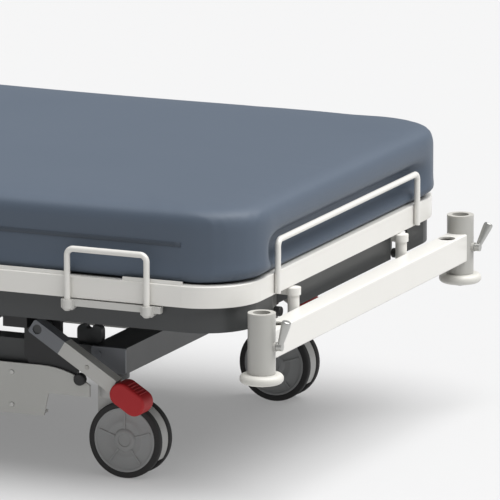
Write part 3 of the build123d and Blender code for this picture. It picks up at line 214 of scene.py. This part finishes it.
# materials
finishes = {  # colour, second colour, roughness, metallic, bump, fine scale, scuffs, coat
    "whitePaint": ((0.73, 0.718, 0.685), (0.69, 0.678, 0.642), 0.34, 0.0, 0.05, 1400.0, 0.10, 0.25),
    "darkPaint": ((0.034, 0.037, 0.040), (0.044, 0.046, 0.045), 0.42, 0.0, 0.08, 1200.0, 0.25, 0.1),
    "greyPaint": ((0.50, 0.495, 0.47), (0.54, 0.535, 0.51), 0.38, 0.0, 0.05, 1400.0, 0.15, 0.2),
    "greyPlastic": ((0.55, 0.55, 0.525), (0.50, 0.50, 0.475), 0.48, 0.0, 0.10, 2200.0, 0.12, 0.0),
    "blackPlastic": ((0.014, 0.014, 0.015), (0.024, 0.024, 0.025), 0.5, 0.0, 0.12, 2400.0, 0.2, 0.0),
    "panelLaminate": ((0.105, 0.11, 0.115), (0.125, 0.13, 0.135), 0.55, 0.0, 0.10, 900.0, 0.2, 0.0),
    "bumperPlastic": ((0.64, 0.63, 0.59), (0.58, 0.57, 0.53), 0.42, 0.0, 0.08, 1800.0, 0.25, 0.0),
    "socketPaint": ((0.40, 0.395, 0.37), (0.435, 0.43, 0.405), 0.36, 0.0, 0.05, 1500.0, 0.12, 0.2),
    "socketInsert": ((0.46, 0.45, 0.42), (0.42, 0.41, 0.38), 0.45, 0.0, 0.06, 1800.0, 0.15, 0.0),
    "zincSteel": ((0.42, 0.42, 0.41), (0.52, 0.52, 0.50), 0.36, 0.85, 0.06, 1600.0, 0.3, 0.0),
    "chromeSteel": ((0.62, 0.62, 0.61), (0.70, 0.70, 0.69), 0.16, 1.0, 0.02, 1500.0, 0.15, 0.0),
    "satinSteel": ((0.40, 0.40, 0.385), (0.50, 0.50, 0.48), 0.30, 0.75, 0.04, 1500.0, 0.2, 0.0),
    "castorShell": ((0.46, 0.46, 0.445), (0.51, 0.51, 0.495), 0.40, 0.0, 0.08, 2000.0, 0.2, 0.0),
    "castorDisc": ((0.285, 0.295, 0.305), (0.330, 0.330, 0.320), 0.46, 0.0, 0.10, 2000.0, 0.2, 0.0),
    "tyreRubber": ((0.018, 0.018, 0.019), (0.030, 0.029, 0.028), 0.70, 0.0, 0.25, 900.0, 0.4, 0.0),
    "pedalRed": ((0.42, 0.006, 0.010), (0.37, 0.005, 0.008), 0.55, 0.0, 0.08, 1800.0, 0.05, 0.0),
    "knuckleGrey": ((0.150, 0.165, 0.195), (0.190, 0.190, 0.185), 0.46, 0.0, 0.08, 1500.0, 0.2, 0.0),
}
wearSet = {
    "cloudScale": 7.0,
    "scuffScale": 16.0,
    "wornShare": 0.72,  # a scuffed spot keeps this share of its colour
    "wornLift": 0.03,
    "smoother": 0.05,  # roughness either side of the finish's own
    "rougher": 0.10,
    "coatRoughness": 0.15,
    "bumpDepth": 0.0006,
}
coverSet = {
    "color": (0.062, 0.085, 0.119),
    "second": (0.069, 0.092, 0.127),
    "roughness": 0.58,
    "threads": 720.0,
    "bump": 0.10,
    "grainScale": 260.0,
    "creaseScale": 5.0,
    "sheen": 0.05,
    "sheenRoughness": 0.5,
    "weaveShare": 0.35,
    "bumpDepth": 0.0008,
}
materials = {}


def startMaterial(name):
    material = bpy.data.materials.new(name)
    material.use_nodes = True
    tree = material.node_tree
    coordinates = tree.nodes.new("ShaderNodeTexCoord")
    return material, tree, tree.nodes["Principled BSDF"], coordinates.outputs["Object"]


def placeGroup(tree, group, place, **values):
    node = tree.nodes.new("ShaderNodeGroup")
    node.node_tree = group
    tree.links.new(place, node.inputs["Vector"])
    for label, value in values.items():
        node.inputs[label.replace("_", " ")].default_value = value
    return node


def mixColors(tree, factor, first, second):
    mix = tree.nodes.new("ShaderNodeMix")
    mix.data_type = "RGBA"
    tree.links.new(factor, mix.inputs["Factor"])
    for socket, value in ((mix.inputs["A"], first), (mix.inputs["B"], second)):
        if isinstance(value, tuple):
            socket.default_value = (*value, 1)
        else:
            tree.links.new(value, socket)
    return mix.outputs["Result"]


def addBump(tree, shader, height, strength, distance):
    bump = tree.nodes.new("ShaderNodeBump")
    bump.inputs["Strength"].default_value = strength
    bump.inputs["Distance"].default_value = distance
    tree.links.new(height, bump.inputs["Height"])
    tree.links.new(bump.outputs["Normal"], shader.inputs["Normal"])


def makeFinish(name):
    color, second, roughness, metallic, bump, fineScale, scuffs, coat = finishes[name]
    material, tree, shader, place = startMaterial(name)
    grain = placeGroup(tree, grainGroup, place, Fine_Scale=fineScale, Cloud_Scale=wearSet["cloudScale"])
    scuff = placeGroup(tree, scuffGroup, place, Scale=wearSet["scuffScale"], Amount=scuffs)
    clean = mixColors(tree, grain.outputs["Cloud"], color, second)
    worn = tuple(min(1.0, c * wearSet["wornShare"] + wearSet["wornLift"]) for c in color)
    tree.links.new(mixColors(tree, scuff.outputs["Mask"], clean, worn), shader.inputs["Base Color"])
    rough = tree.nodes.new("ShaderNodeMapRange")
    rough.inputs["To Min"].default_value = roughness - wearSet["smoother"]
    rough.inputs["To Max"].default_value = min(1.0, roughness + wearSet["rougher"])
    tree.links.new(grain.outputs["Cloud"], rough.inputs["Value"])
    tree.links.new(rough.outputs["Result"], shader.inputs["Roughness"])
    shader.inputs["Metallic"].default_value = metallic
    shader.inputs["Coat Weight"].default_value = coat
    shader.inputs["Coat Roughness"].default_value = wearSet["coatRoughness"]
    addBump(tree, shader, grain.outputs["Height"], bump, wearSet["bumpDepth"])
    materials[name] = material


def makeCover(name, tint):
    material, tree, shader, place = startMaterial(name)
    scales = {"Fine_Scale": coverSet["grainScale"], "Cloud_Scale": coverSet["creaseScale"]}
    grain = placeGroup(tree, grainGroup, place, **scales)
    weave = placeGroup(tree, weaveGroup, place, Threads=coverSet["threads"])
    color = tuple(c * tint for c in coverSet["color"])
    second = tuple(c * tint for c in coverSet["second"])
    tree.links.new(mixColors(tree, grain.outputs["Cloud"], color, second), shader.inputs["Base Color"])
    shader.inputs["Roughness"].default_value = coverSet["roughness"]
    shader.inputs["Sheen Weight"].default_value = coverSet["sheen"]
    shader.inputs["Sheen Roughness"].default_value = coverSet["sheenRoughness"]
    total = tree.nodes.new("ShaderNodeMath")
    total.operation = "MULTIPLY_ADD"
    total.inputs[1].default_value = coverSet["weaveShare"]
    tree.links.new(weave.outputs["Height"], total.inputs[0])
    tree.links.new(grain.outputs["Height"], total.inputs[2])
    addBump(tree, shader, total.outputs["Value"], coverSet["bump"], coverSet["bumpDepth"])
    materials[name] = material


for finish in finishes:
    makeFinish(finish)
makeCover("mattressCover", 1.0)
makeCover("zipFlap", 0.55)
print("materials made:", len(materials))

slotFinish = {
    "white_paint": "whitePaint",
    "dark_paint": "darkPaint",
    "grey_paint": "greyPaint",
    "grey_plastic": "greyPlastic",
    "black_plastic": "blackPlastic",
    "panel_laminate": "panelLaminate",
    "cover_fabric": "mattressCover",
    "bumper_plastic": "bumperPlastic",
    "socket_plastic": "socketInsert",
    "steel": "zincSteel",
    "chrome_steel": "chromeSteel",
    "tyre": "tyreRubber",
    "castor_plastic": "castorShell",
    "red_plastic": "pedalRed",
}
nodeFinish = {
    "corner_sockets": "socketPaint",
    "pedal_knuckles": "knuckleGrey",
    "pedal_shaft": "darkPaint",
    "beam_caps": "knuckleGrey",
    "clamp_foot_right": "satinSteel",
    "clamp_foot_left": "satinSteel",
    "clamp_head_right": "satinSteel",
    "clamp_head_left": "satinSteel",
}


def finishNodes():
    for part in frame["record"]["subparts"]:
        name = part["node"]
        finish = nodeFinish.get(name, slotFinish[part["material_slot"]])
        mesh = nodes[name].data
        mesh.materials.clear()
        mesh.materials.append(materials[finish])


finishNodes()
print("CAD nodes finished:", len(nodes))

# mesh helpers


def meshPiece(name, points, faces, finish):
    mesh = bpy.data.meshes.new(name)
    mesh.from_pydata([tuple(p) for p in points], [], faces)
    mesh.validate()
    piece = bpy.data.objects.new(name, mesh)
    scene.collection.objects.link(piece)
    mesh.materials.append(materials[finish])
    mesh.shade_smooth()
    return piece


def applyModifiers(piece):
    graph = bpy.context.evaluated_depsgraph_get()
    mesh = bpy.data.meshes.new_from_object(piece.evaluated_get(graph), depsgraph=graph)
    old = piece.data
    piece.modifiers.clear()
    piece.data = mesh
    bpy.data.meshes.remove(old)


def roundedOutline(halfX, halfY, radius, step):
    # points of a rounded rectangle, anticlockwise from the +X end of the -Y side, with outward normals
    spots = []
    turns = ((halfX - radius, -halfY + radius, -90), (halfX - radius, halfY - radius, 0),
             (-halfX + radius, halfY - radius, 90), (-halfX + radius, -halfY + radius, 180))
    arcs = []
    for centerX, centerY, start in turns:
        count = max(6, int(radius * math.pi / 2 / step))
        for i in range(count + 1):
            angle = math.radians(start + 90 * i / count)
            normal = (math.cos(angle), math.sin(angle))
            arcs.append(((centerX + radius * normal[0], centerY + radius * normal[1]), normal))
    for index, (spot, normal) in enumerate(arcs):
        spots.append((spot, normal))
        after, nextNormal = arcs[(index + 1) % len(arcs)]
        count = int(math.dist(spot, after) / step)
        if math.dist(normal, nextNormal) < 1e-6:
            for i in range(1, count):
                t = i / count
                between = (spot[0] + (after[0] - spot[0]) * t, spot[1] + (after[1] - spot[1]) * t)
                spots.append((between, normal))
    return spots


# mattress
mattressSet = {
    "corner": 0.100,  # plan radius, metres
    "topEdge": 0.018,
    "bottomEdge": 0.004,
    "voxel": 0.010,
    "pressure": 4.0,
    "clothQuality": 4,
    "clothMass": 0.3,
    "stretch": 15,
    "stiffness": 0.5,
    "frames": 20,
    "cap": 0.005,  # the most that the filling moves the cover
    "overhang": 0.015,  # how far the end swells out over the hoop
    "pressedIn": 0.018,  # how far the hoop's own patch lies back
    "rodHalf": 0.005,
    "topShare": 0.2,  # how much of the swelling fades towards the top edge
    "crown": 0.0035,
    "ripples": (0.0007, 0.0005),
    "outlineStep": 0.02,
    "flapStep": 0.012,
    "flapHeight": 0.4136,
    "flapTall": 0.008,
    "flapProud": 0.0022,
    "flapEnd": 0.883,
    "flapSink": 0.0006,
}


def mattressBox():
    low, high = Vector((9, 9, 9)), Vector((-9, -9, -9))
    for name in ("mattress_back", "mattress_fold", "mattress_foot"):
        lowest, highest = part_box(name)
        low = Vector(map(min, low, lowest))
        high = Vector(map(max, high, highest))
    return low, high


def mattressBlank(low, high):
    rings = []
    bottomEdge, topEdge = mattressSet["bottomEdge"], mattressSet["topEdge"]
    for i in range(5):
        angle = math.radians(90 * i / 4)
        rings.append((bottomEdge * (1 - math.sin(angle)), low.z + bottomEdge * (1 - math.cos(angle))))
    for i in range(7):
        angle = math.radians(90 * i / 6)
        rings.append((topEdge * (1 - math.cos(angle)), high.z - topEdge * (1 - math.sin(angle))))
    outline = roundedOutline(high.x, high.y, mattressSet["corner"], mattressSet["outlineStep"])
    points = []
    for inset, height in rings:
        for (x, y), (normalX, normalY) in outline:
            points.append((x - normalX * inset, y - normalY * inset, height))
    count = len(outline)
    faces = [tuple(reversed(range(count)))]
    for ring in range(len(rings) - 1):
        for i in range(count):
            j = (i + 1) % count
            faces.append((ring * count + i, ring * count + j, (ring + 1) * count + j, (ring + 1) * count + i))
    faces.append(tuple(range((len(rings) - 1) * count, len(rings) * count)))
    return meshPiece("mattress", points, faces, "mattressCover")


def readPoints(mesh):
    points = np.empty(len(mesh.vertices) * 3)
    mesh.vertices.foreach_get("co", points)
    return points.reshape(-1, 3)


def writePoints(mesh, points):
    mesh.vertices.foreach_set("co", points.ravel())
    mesh.update()


def inflate(piece, lowZ):
    rest = readPoints(piece.data)
    cloth = piece.modifiers.new("cloth", "CLOTH")
    cloth.settings.quality = mattressSet["clothQuality"]
    cloth.settings.mass = mattressSet["clothMass"]
    cloth.settings.use_pressure = True
    cloth.settings.uniform_pressure_force = mattressSet["pressure"]
    cloth.settings.effector_weights.gravity = 0.0
    cloth.settings.tension_stiffness = mattressSet["stretch"]
    cloth.settings.compression_stiffness = mattressSet["stretch"]
    cloth.settings.bending_stiffness = mattressSet["stiffness"]
    cloth.point_cache.frame_start = 1
    cloth.point_cache.frame_end = mattressSet["frames"]
    for step in range(1, mattressSet["frames"] + 1):
        scene.frame_set(step)
    applyModifiers(piece)
    scene.frame_set(1)
    moved = readPoints(piece.data) - rest
    length = np.linalg.norm(moved, axis=1, keepdims=True)
    limit = np.minimum(1.0, mattressSet["cap"] / np.maximum(length, 1e-9))
    lift = np.clip((rest[:, 2:3] - lowZ) / 0.03, 0, 1)
    writePoints(piece.data, rest + moved * limit * lift)


def smoothStep(value, low, high):
    t = np.clip((value - low) / (high - low), 0, 1)
    return t * t * (3 - 2 * t)


def shapeEnds(piece, low, high):
    # the ends swell out above the hoops, and the hoops press the cover in
    points = readPoints(piece.data)
    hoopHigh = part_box("end_hoops")[1]
    hoopTop = hoopHigh.z
    x, y, z = points[:, 0], points[:, 1], points[:, 2]
    inward = smoothStep(np.abs(x), high.x - 0.16, high.x - 0.005)
    middle = 1 - smoothStep(np.abs(y), hoopHigh.y - 0.03, hoopHigh.y + 0.05)
    topFade = 1 - mattressSet["topShare"] * smoothStep(z, high.z - 0.02, high.z)
    swellAll = smoothStep(z, low.z + 0.001, low.z + 0.016) * topFade
    swellOver = smoothStep(z, hoopTop - mattressSet["rodHalf"], hoopTop + 0.014) * topFade
    grow = mattressSet["overhang"] * ((1 - middle) * swellAll + middle * swellOver)
    hollow = smoothStep(z, low.z + 0.01, hoopTop - 0.03)
    hollow = hollow * (1 - smoothStep(z, hoopTop - 0.002, hoopTop + 0.012))
    pressed = mattressSet["pressedIn"] * middle * hollow
    points[:, 0] += np.sign(x) * inward * (grow - pressed)
    writePoints(piece.data, points)


def crownTop(piece, high):
    # a slight crown and a few soft ripples, so that the top isn't dead flat
    points = readPoints(piece.data)
    x, y, z = points[:, 0], points[:, 1], points[:, 2]
    onTop = smoothStep(z, high.z - 0.03, high.z - 0.004)
    across = 1 - (y / high.y) ** 2
    along = np.clip(1 - (x / high.x) ** 4, 0, 1)
    wide, fine = mattressSet["ripples"]
    ripple = wide * np.sin(9 * x + 1.5 * np.sin(5 * y)) + fine * np.sin(23 * y + 4 * x)
    points[:, 2] += onTop * (mattressSet["crown"] * np.clip(across, 0, 1) * along + ripple * along)
    writePoints(piece.data, points)


def surfacePoint(tree, spot, normal, height):
    # the ray starts clear of the cover and looks inwards
    outside = Vector((spot[0] + normal[0] * 0.08, spot[1] + normal[1] * 0.08, height))
    inwards = Vector((-normal[0], -normal[1], 0))
    hit = tree.ray_cast(outside, inwards, 0.2)[0]
    return hit or Vector((spot[0], spot[1], height))


def flapStations(high):
    outline = roundedOutline(high.x, high.y, mattressSet["corner"], mattressSet["flapStep"])
    end = mattressSet["flapEnd"]
    start = 0
    for index, ((x, y), normal) in enumerate(outline):
        if y > 0 and normal[1] > 0.99 and x < end:
            start = index
            break
    stations = []
    for offset in range(len(outline)):
        spot, normal = outline[(start + offset) % len(outline)]
        if spot[1] < 0 and normal[1] < -0.99 and spot[0] > end:
            break
        stations.append((spot, normal))
    return stations


def makeZipFlap(mattress, high):
    tree = BVHTree.FromPolygons(
        [v.co.copy() for v in mattress.data.vertices],
        [tuple(p.vertices) for p in mattress.data.polygons],
    )
    tall, proud = mattressSet["flapTall"], mattressSet["flapProud"]
    profile = []
    for i in range(9):
        angle = math.radians(-90 + 180 * i / 8)
        profile.append((proud * (abs(math.cos(angle)) ** 0.5), tall / 2 * math.sin(angle)))
    points = []
    stations = flapStations(high)
    for spot, normal in stations:
        for out, up in profile:
            hit = surfacePoint(tree, spot, normal, mattressSet["flapHeight"] + up)
            points.append(hit + Vector((normal[0], normal[1], 0)) * (out - mattressSet["flapSink"]))
    row = len(profile)
    faces = []
    for i in range(len(stations) - 1):
        for k in range(row - 1):
            faces.append((i * row + k, (i + 1) * row + k, (i + 1) * row + k + 1, i * row + k + 1))
        faces.append((i * row + row - 1, (i + 1) * row + row - 1, (i + 1) * row, i * row))
    faces.append(tuple(reversed(range(row))))
    faces.append(tuple(range((len(stations) - 1) * row, len(stations) * row)))
    flap = meshPiece("zipFlap", points, faces, "zipFlap")
    fixNormals(flap)
    return flap


def fixNormals(piece):
    work = bmesh.new()
    work.from_mesh(piece.data)
    bmesh.ops.remove_doubles(work, verts=work.verts, dist=1e-6)
    bmesh.ops.recalc_face_normals(work, faces=work.faces)
    work.to_mesh(piece.data)
    work.free()


def makeMattress():
    low, high = mattressBox()
    mattress = mattressBlank(low, high)
    remesh = mattress.modifiers.new("remesh", "REMESH")
    remesh.mode = "VOXEL"
    remesh.voxel_size = mattressSet["voxel"] * 1.0
    remesh.use_smooth_shade = True
    applyModifiers(mattress)
    inflate(mattress, low.z)
    shapeEnds(mattress, low, high)
    crownTop(mattress, high)
    smooth = mattress.modifiers.new("soften", "SUBSURF")
    smooth.levels = 1
    smooth.render_levels = 1
    applyModifiers(mattress)
    mattress.data.shade_smooth()
    flap = makeZipFlap(mattress, high)
    for piece in (mattress, flap):
        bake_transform(piece)
    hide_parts("mattress_back", "mattress_fold", "mattress_foot")


makeMattress()
print("mattress made")

# castor wheels
wheelSet = {
    "tyreInner": 0.0525,  # metres
    "tyreEdge": 0.003,
    "discSink": 0.0028,
    "hubRadius": 0.017,
    "segments": 64,
    "ribs": 5,
    "wheelWide": 0.013,
    "ribHalf": 0.0016,
}


def spinProfile(profile, center, side, closed, segments):
    # profile holds (radius, distance from the hood's middle plane); the axle lies along Y
    points, faces, rows = [], [], []
    for radius, depth in profile:
        y = center[1] + side * depth
        if radius < 1e-6:
            rows.append([len(points)] * segments)
            points.append((center[0], y, center[2]))
            continue
        rows.append(list(range(len(points), len(points) + segments)))
        for i in range(segments):
            angle = 2 * math.pi * i / segments
            points.append((center[0] + radius * math.cos(angle), y, center[2] + radius * math.sin(angle)))
    count = len(rows) if closed else len(rows) - 1
    for k in range(count):
        first, second = rows[k], rows[(k + 1) % len(rows)]
        for i in range(segments):
            j = (i + 1) % segments
            face = list(dict.fromkeys((first[i], first[j], second[j], second[i])))
            if len(face) > 2:
                faces.append(tuple(face))
    return points, faces


def tyreProfile(outer, near, far):
    edge, inner = wheelSet["tyreEdge"], wheelSet["tyreInner"]
    profile = [(inner, near), (outer - edge, near)]
    for i in range(1, 5):
        angle = math.radians(90 * i / 4)
        profile.append((outer - edge + edge * math.sin(angle), near + edge * (1 - math.cos(angle))))
    for i in range(5):
        angle = math.radians(90 * i / 4)
        profile.append((outer - edge + edge * math.cos(angle), far - edge + edge * math.sin(angle)))
    profile += [(inner + 0.0012, far), (inner, far - 0.0012)]
    return profile


def discProfile(near, far):
    inner, sink, hub = wheelSet["tyreInner"], wheelSet["discSink"], wheelSet["hubRadius"]
    back, floor, ledge = near + 0.0008, far - sink, far - sink * 0.7
    rim = [(0, back), (inner, back), (inner, far - 0.0006), (inner - 0.003, far - 0.0006)]
    dish = [(inner - 0.0045, far - sink * 0.6), (inner - 0.007, floor), (hub + 0.016, floor)]
    ring = [(hub + 0.014, ledge), (hub + 0.010, ledge), (hub + 0.008, floor), (hub + 0.002, floor)]
    cap = [(hub, far - 0.0008), (hub - 0.0015, far), (hub - 0.006, far)]
    return rim + dish + ring + cap + [(hub - 0.007, far - 0.0012), (0, far - 0.0012)]


def discRibs(center, side, far):
    # low ribs between the hub and the rim, so that a turn of the wheel shows
    points, faces = [], []
    half, start, stop = wheelSet["ribHalf"], wheelSet["hubRadius"] + 0.0015, wheelSet["tyreInner"] - 0.006
    base, top = far - wheelSet["discSink"] - 0.0006, far - 0.0010
    for n in range(wheelSet["ribs"]):
        angle = 2 * math.pi * (n + 0.25) / wheelSet["ribs"]
        along = Vector((math.cos(angle), 0, math.sin(angle)))
        across = Vector((-math.sin(angle), 0, math.cos(angle)))
        first = len(points)
        for depth, slim in ((base, 1.0), (top - 0.0005, 1.0), (top, 0.6)):
            for reach, way in ((start, -1), (stop, -1), (stop, 1), (start, 1)):
                spot = Vector(center) + along * reach + across * half * slim * way
                points.append((spot.x, center[1] + side * depth, spot.z))
        for ring in (0, 4):
            for i in range(4):
                j = (i + 1) % 4
                faces.append((first + ring + i, first + ring + j, first + ring + 4 + j, first + ring + 4 + i))
        faces.append(tuple(first + i for i in range(4)))
        faces.append(tuple(first + 8 + i for i in range(4)))
    return points, faces


def joinParts(name, parts, finish):
    points, faces = [], []
    for morePoints, moreFaces in parts:
        shift = len(points)
        points += morePoints
        faces += [tuple(v + shift for v in face) for face in moreFaces]
    piece = meshPiece(name, points, faces, finish)
    fixNormals(piece)
    piece.data.set_sharp_from_angle(angle=math.radians(35))
    return piece


def makeWheels(corner):
    node = f"castor_{corner}_wheels"
    low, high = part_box(node)
    outer = (high.z - low.z) / 2
    center = ((low.x + high.x) / 2, (low.y + high.y) / 2, (low.z + high.z) / 2)
    far = (high.y - low.y) / 2
    near = far - wheelSet["wheelWide"]
    tyres, discs = [], []
    for side in (-1, 1):
        tyres.append(spinProfile(tyreProfile(outer, near, far), center, side, True, wheelSet["segments"]))
        discs.append(spinProfile(discProfile(near, far), center, side, False, wheelSet["segments"]))
        discs.append(discRibs(center, side, far))
    tyre = joinParts(f"castor_{corner}_tyres", tyres, "tyreRubber")
    disc = joinParts(f"castor_{corner}_discs", discs, "castorDisc")
    for piece, slot in ((tyre, "tyre"), (disc, "castor_plastic")):
        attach(piece, f"castor_{corner}_wheels")
    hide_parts(node)


for corner in corners:
    makeWheels(corner)
print("castor wheels made")

# screws, rivets and ribs by geometry nodes
screwSet = {
    "coverScrew": (0.0045, 0.0018),  # radius and height of a head, metres
    "mountScrew": (0.0026, 0.0014),
    "rivet": (0.0042, 0.0016),
    "headSides": 20,
    "headSlope": 0.78,  # top radius over bottom radius
    "sinkShare": 0.2,
    "coverRow": (-0.54, 0.54, 7),  # first, last and number of the screws along a cover
    "coverInset": (0.014, 0.016),  # from the cover's lower and upper edge
    "mountInset": 0.019,
    "mountOffset": (0.0145, 0.011),
}


def startTree(name, sizes):
    # a geometry tree with the named sizes and a material as its inputs
    tree = bpy.data.node_groups.new(name, "GeometryNodeTree")
    tree.interface.new_socket("Geometry", in_out="INPUT", socket_type="NodeSocketGeometry")
    for label in sizes:
        tree.interface.new_socket(label, in_out="INPUT", socket_type="NodeSocketFloat")
    tree.interface.new_socket("Material", in_out="INPUT", socket_type="NodeSocketMaterial")
    tree.interface.new_socket("Geometry", in_out="OUTPUT", socket_type="NodeSocketGeometry")
    return tree, tree.nodes.new("NodeGroupInput"), tree.nodes.new("NodeGroupOutput")


def makeHeadTree():
    tree, entry, leave = startTree("headsOnPoints", ("Radius", "Height"))
    toPoints = tree.nodes.new("GeometryNodeMeshToPoints")
    facing = tree.nodes.new("GeometryNodeInputNamedAttribute")
    facing.data_type = "FLOAT_VECTOR"
    facing.inputs["Name"].default_value = "facing"
    align = tree.nodes.new("FunctionNodeAlignRotationToVector")
    align.axis = "Z"
    head = tree.nodes.new("GeometryNodeMeshCone")
    head.inputs["Vertices"].default_value = screwSet["headSides"]
    slim = tree.nodes.new("ShaderNodeMath")
    slim.operation = "MULTIPLY"
    slim.inputs[1].default_value = screwSet["headSlope"]
    place = tree.nodes.new("GeometryNodeInstanceOnPoints")
    real = tree.nodes.new("GeometryNodeRealizeInstances")
    flat = tree.nodes.new("GeometryNodeSetShadeSmooth")
    flat.inputs["Shade Smooth"].default_value = False
    paint = tree.nodes.new("GeometryNodeSetMaterial")
    link = tree.links.new
    link(entry.outputs["Geometry"], toPoints.inputs["Mesh"])
    link(entry.outputs["Radius"], head.inputs["Radius Bottom"])
    link(entry.outputs["Radius"], slim.inputs[0])
    link(slim.outputs["Value"], head.inputs["Radius Top"])
    link(entry.outputs["Height"], head.inputs["Depth"])
    link(facing.outputs["Attribute"], align.inputs["Vector"])
    link(toPoints.outputs["Points"], place.inputs["Points"])
    link(head.outputs["Mesh"], place.inputs["Instance"])
    link(align.outputs["Rotation"], place.inputs["Rotation"])
    link(place.outputs["Instances"], real.inputs["Geometry"])
    link(real.outputs["Geometry"], flat.inputs["Geometry"])
    link(flat.outputs["Geometry"], paint.inputs["Geometry"])
    link(entry.outputs["Material"], paint.inputs["Material"])
    link(paint.outputs["Geometry"], leave.inputs["Geometry"])
    return tree


def makeRibTree():
    tree, entry, leave = startTree("ribsAlongLine", ("Rib Radius", "Rib Length"))
    toPoints = tree.nodes.new("GeometryNodeMeshToPoints")
    rod = tree.nodes.new("GeometryNodeMeshCylinder")
    rod.inputs["Vertices"].default_value = 10
    turn = tree.nodes.new("GeometryNodeTransform")
    turn.inputs["Rotation"].default_value = (math.radians(90), 0, 0)
    place = tree.nodes.new("GeometryNodeInstanceOnPoints")
    real = tree.nodes.new("GeometryNodeRealizeInstances")
    paint = tree.nodes.new("GeometryNodeSetMaterial")
    link = tree.links.new
    link(entry.outputs["Geometry"], toPoints.inputs["Mesh"])
    link(entry.outputs["Rib Radius"], rod.inputs["Radius"])
    link(entry.outputs["Rib Length"], rod.inputs["Depth"])
    link(rod.outputs["Mesh"], turn.inputs["Geometry"])
    link(toPoints.outputs["Points"], place.inputs["Points"])
    link(turn.outputs["Geometry"], place.inputs["Instance"])
    link(place.outputs["Instances"], real.inputs["Geometry"])
    link(real.outputs["Geometry"], paint.inputs["Geometry"])
    link(entry.outputs["Material"], paint.inputs["Material"])
    link(paint.outputs["Geometry"], leave.inputs["Geometry"])
    return tree


headTree = makeHeadTree()
ribTree = makeRibTree()


def runTree(name, tree, spots, facings, values, body, finish):
    mesh = bpy.data.meshes.new(name)
    mesh.from_pydata([tuple(p) for p in spots], [], [])
    attribute = mesh.attributes.new("facing", "FLOAT_VECTOR", "POINT")
    attribute.data.foreach_set("vector", [c for f in facings for c in f])
    piece = bpy.data.objects.new(name, mesh)
    scene.collection.objects.link(piece)
    modifier = piece.modifiers.new("nodes", "NODES")
    modifier.node_group = tree
    sockets = {item.name: item.identifier for item in tree.interface.items_tree if item.in_out == "INPUT"}
    for label, value in values.items():
        modifier[sockets[label]] = value
    modifier[sockets["Material"]] = materials[finish]
    applyModifiers(piece)
    fixNormals(piece)
    if not piece.data.materials:
        piece.data.materials.append(materials[finish])
    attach(piece, body)
    return piece


def addHeads(name, kind, spots, facings, body, finish):
    radius, height = screwSet[kind]
    # each head's foot sinks a little into the surface
    sunk = [Vector(p) - Vector(f) * height * screwSet["sinkShare"] for p, f in zip(spots, facings)]
    runTree(name, headTree, sunk, facings, {"Radius": radius, "Height": height}, body, finish)


def coverScrews():
    low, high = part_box("side_covers")
    first, last, count = screwSet["coverRow"]
    lowInset, highInset = screwSet["coverInset"]
    spots, facings = [], []
    for side in (-1, 1):
        for i in range(count):
            x = first + (last - first) * i / (count - 1)
            for z in (high.z - highInset, low.z + lowInset):
                spots.append((x, side * high.y, z))
                facings.append((0, side, 0))
    addHeads("coverScrews", "coverScrew", spots, facings, "base", "zincSteel")


def mountScrews():
    low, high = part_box("guard_mounts")
    postLow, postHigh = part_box("guard_right_post_foot")
    height = (postLow.z + postHigh.z) / 2
    face = -postHigh.y - 0.0005
    inset = screwSet["mountInset"]
    stepX, stepZ = screwSet["mountOffset"]
    spots, facings = [], []
    for postX in (low.x + inset, high.x - inset):
        for side in (-1, 1):
            for wayX, wayZ in ((-1, -1), (1, -1), (-1, 1), (1, 1)):
                spots.append((postX + wayX * stepX, side * face, height + wayZ * stepZ))
                facings.append((0, side, 0))
    addHeads("mountScrews", "mountScrew", spots, facings, "deck", "zincSteel")


def pedalRivets():
    low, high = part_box("pedal_arms")
    middleX, middleZ = (low.x + high.x) / 2, (low.z + high.z) / 2
    spots = [(middleX, side * high.y, middleZ) for side in (-1, 1)]
    facings = [(0, side, 0) for side in (-1, 1)]
    addHeads("pedalRivets", "rivet", spots, facings, "pedals", "socketInsert")


pedalSet = {
    "slope": 32.0,  # degrees
    "ribs": 5,
    "ribPitch": 0.0062,
    "ribRadius": 0.0014,
    "ribLength": 0.030,
    "padHalf": 0.0186,  # from the pad's middle to the foot of a rib
    "padHalfWide": 0.020,
}


def padRibs():
    low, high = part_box("pedal_pads")
    slope = math.radians(pedalSet["slope"])
    along = Vector((math.cos(slope), 0, -math.sin(slope)))
    upward = Vector((math.sin(slope), 0, math.cos(slope)))
    middle = Vector(((low.x + high.x) / 2, 0, (low.z + high.z) / 2))
    spots = []
    for side in (-1, 1):
        for i in range(pedalSet["ribs"]):
            step = i - (pedalSet["ribs"] - 1) / 2
            spot = middle + along * step * pedalSet["ribPitch"] + upward * pedalSet["padHalf"]
            spot.y = side * (high.y - pedalSet["padHalfWide"])
            spots.append(spot)
    values = {"Rib Radius": pedalSet["ribRadius"], "Rib Length": pedalSet["ribLength"]}
    runTree("padRibs", ribTree, spots, [(0, 0, 1)] * len(spots), values, "pedals", "pedalRed")


coverScrews()
mountScrews()
pedalRivets()
padRibs()
print("screws, rivets and ribs made")
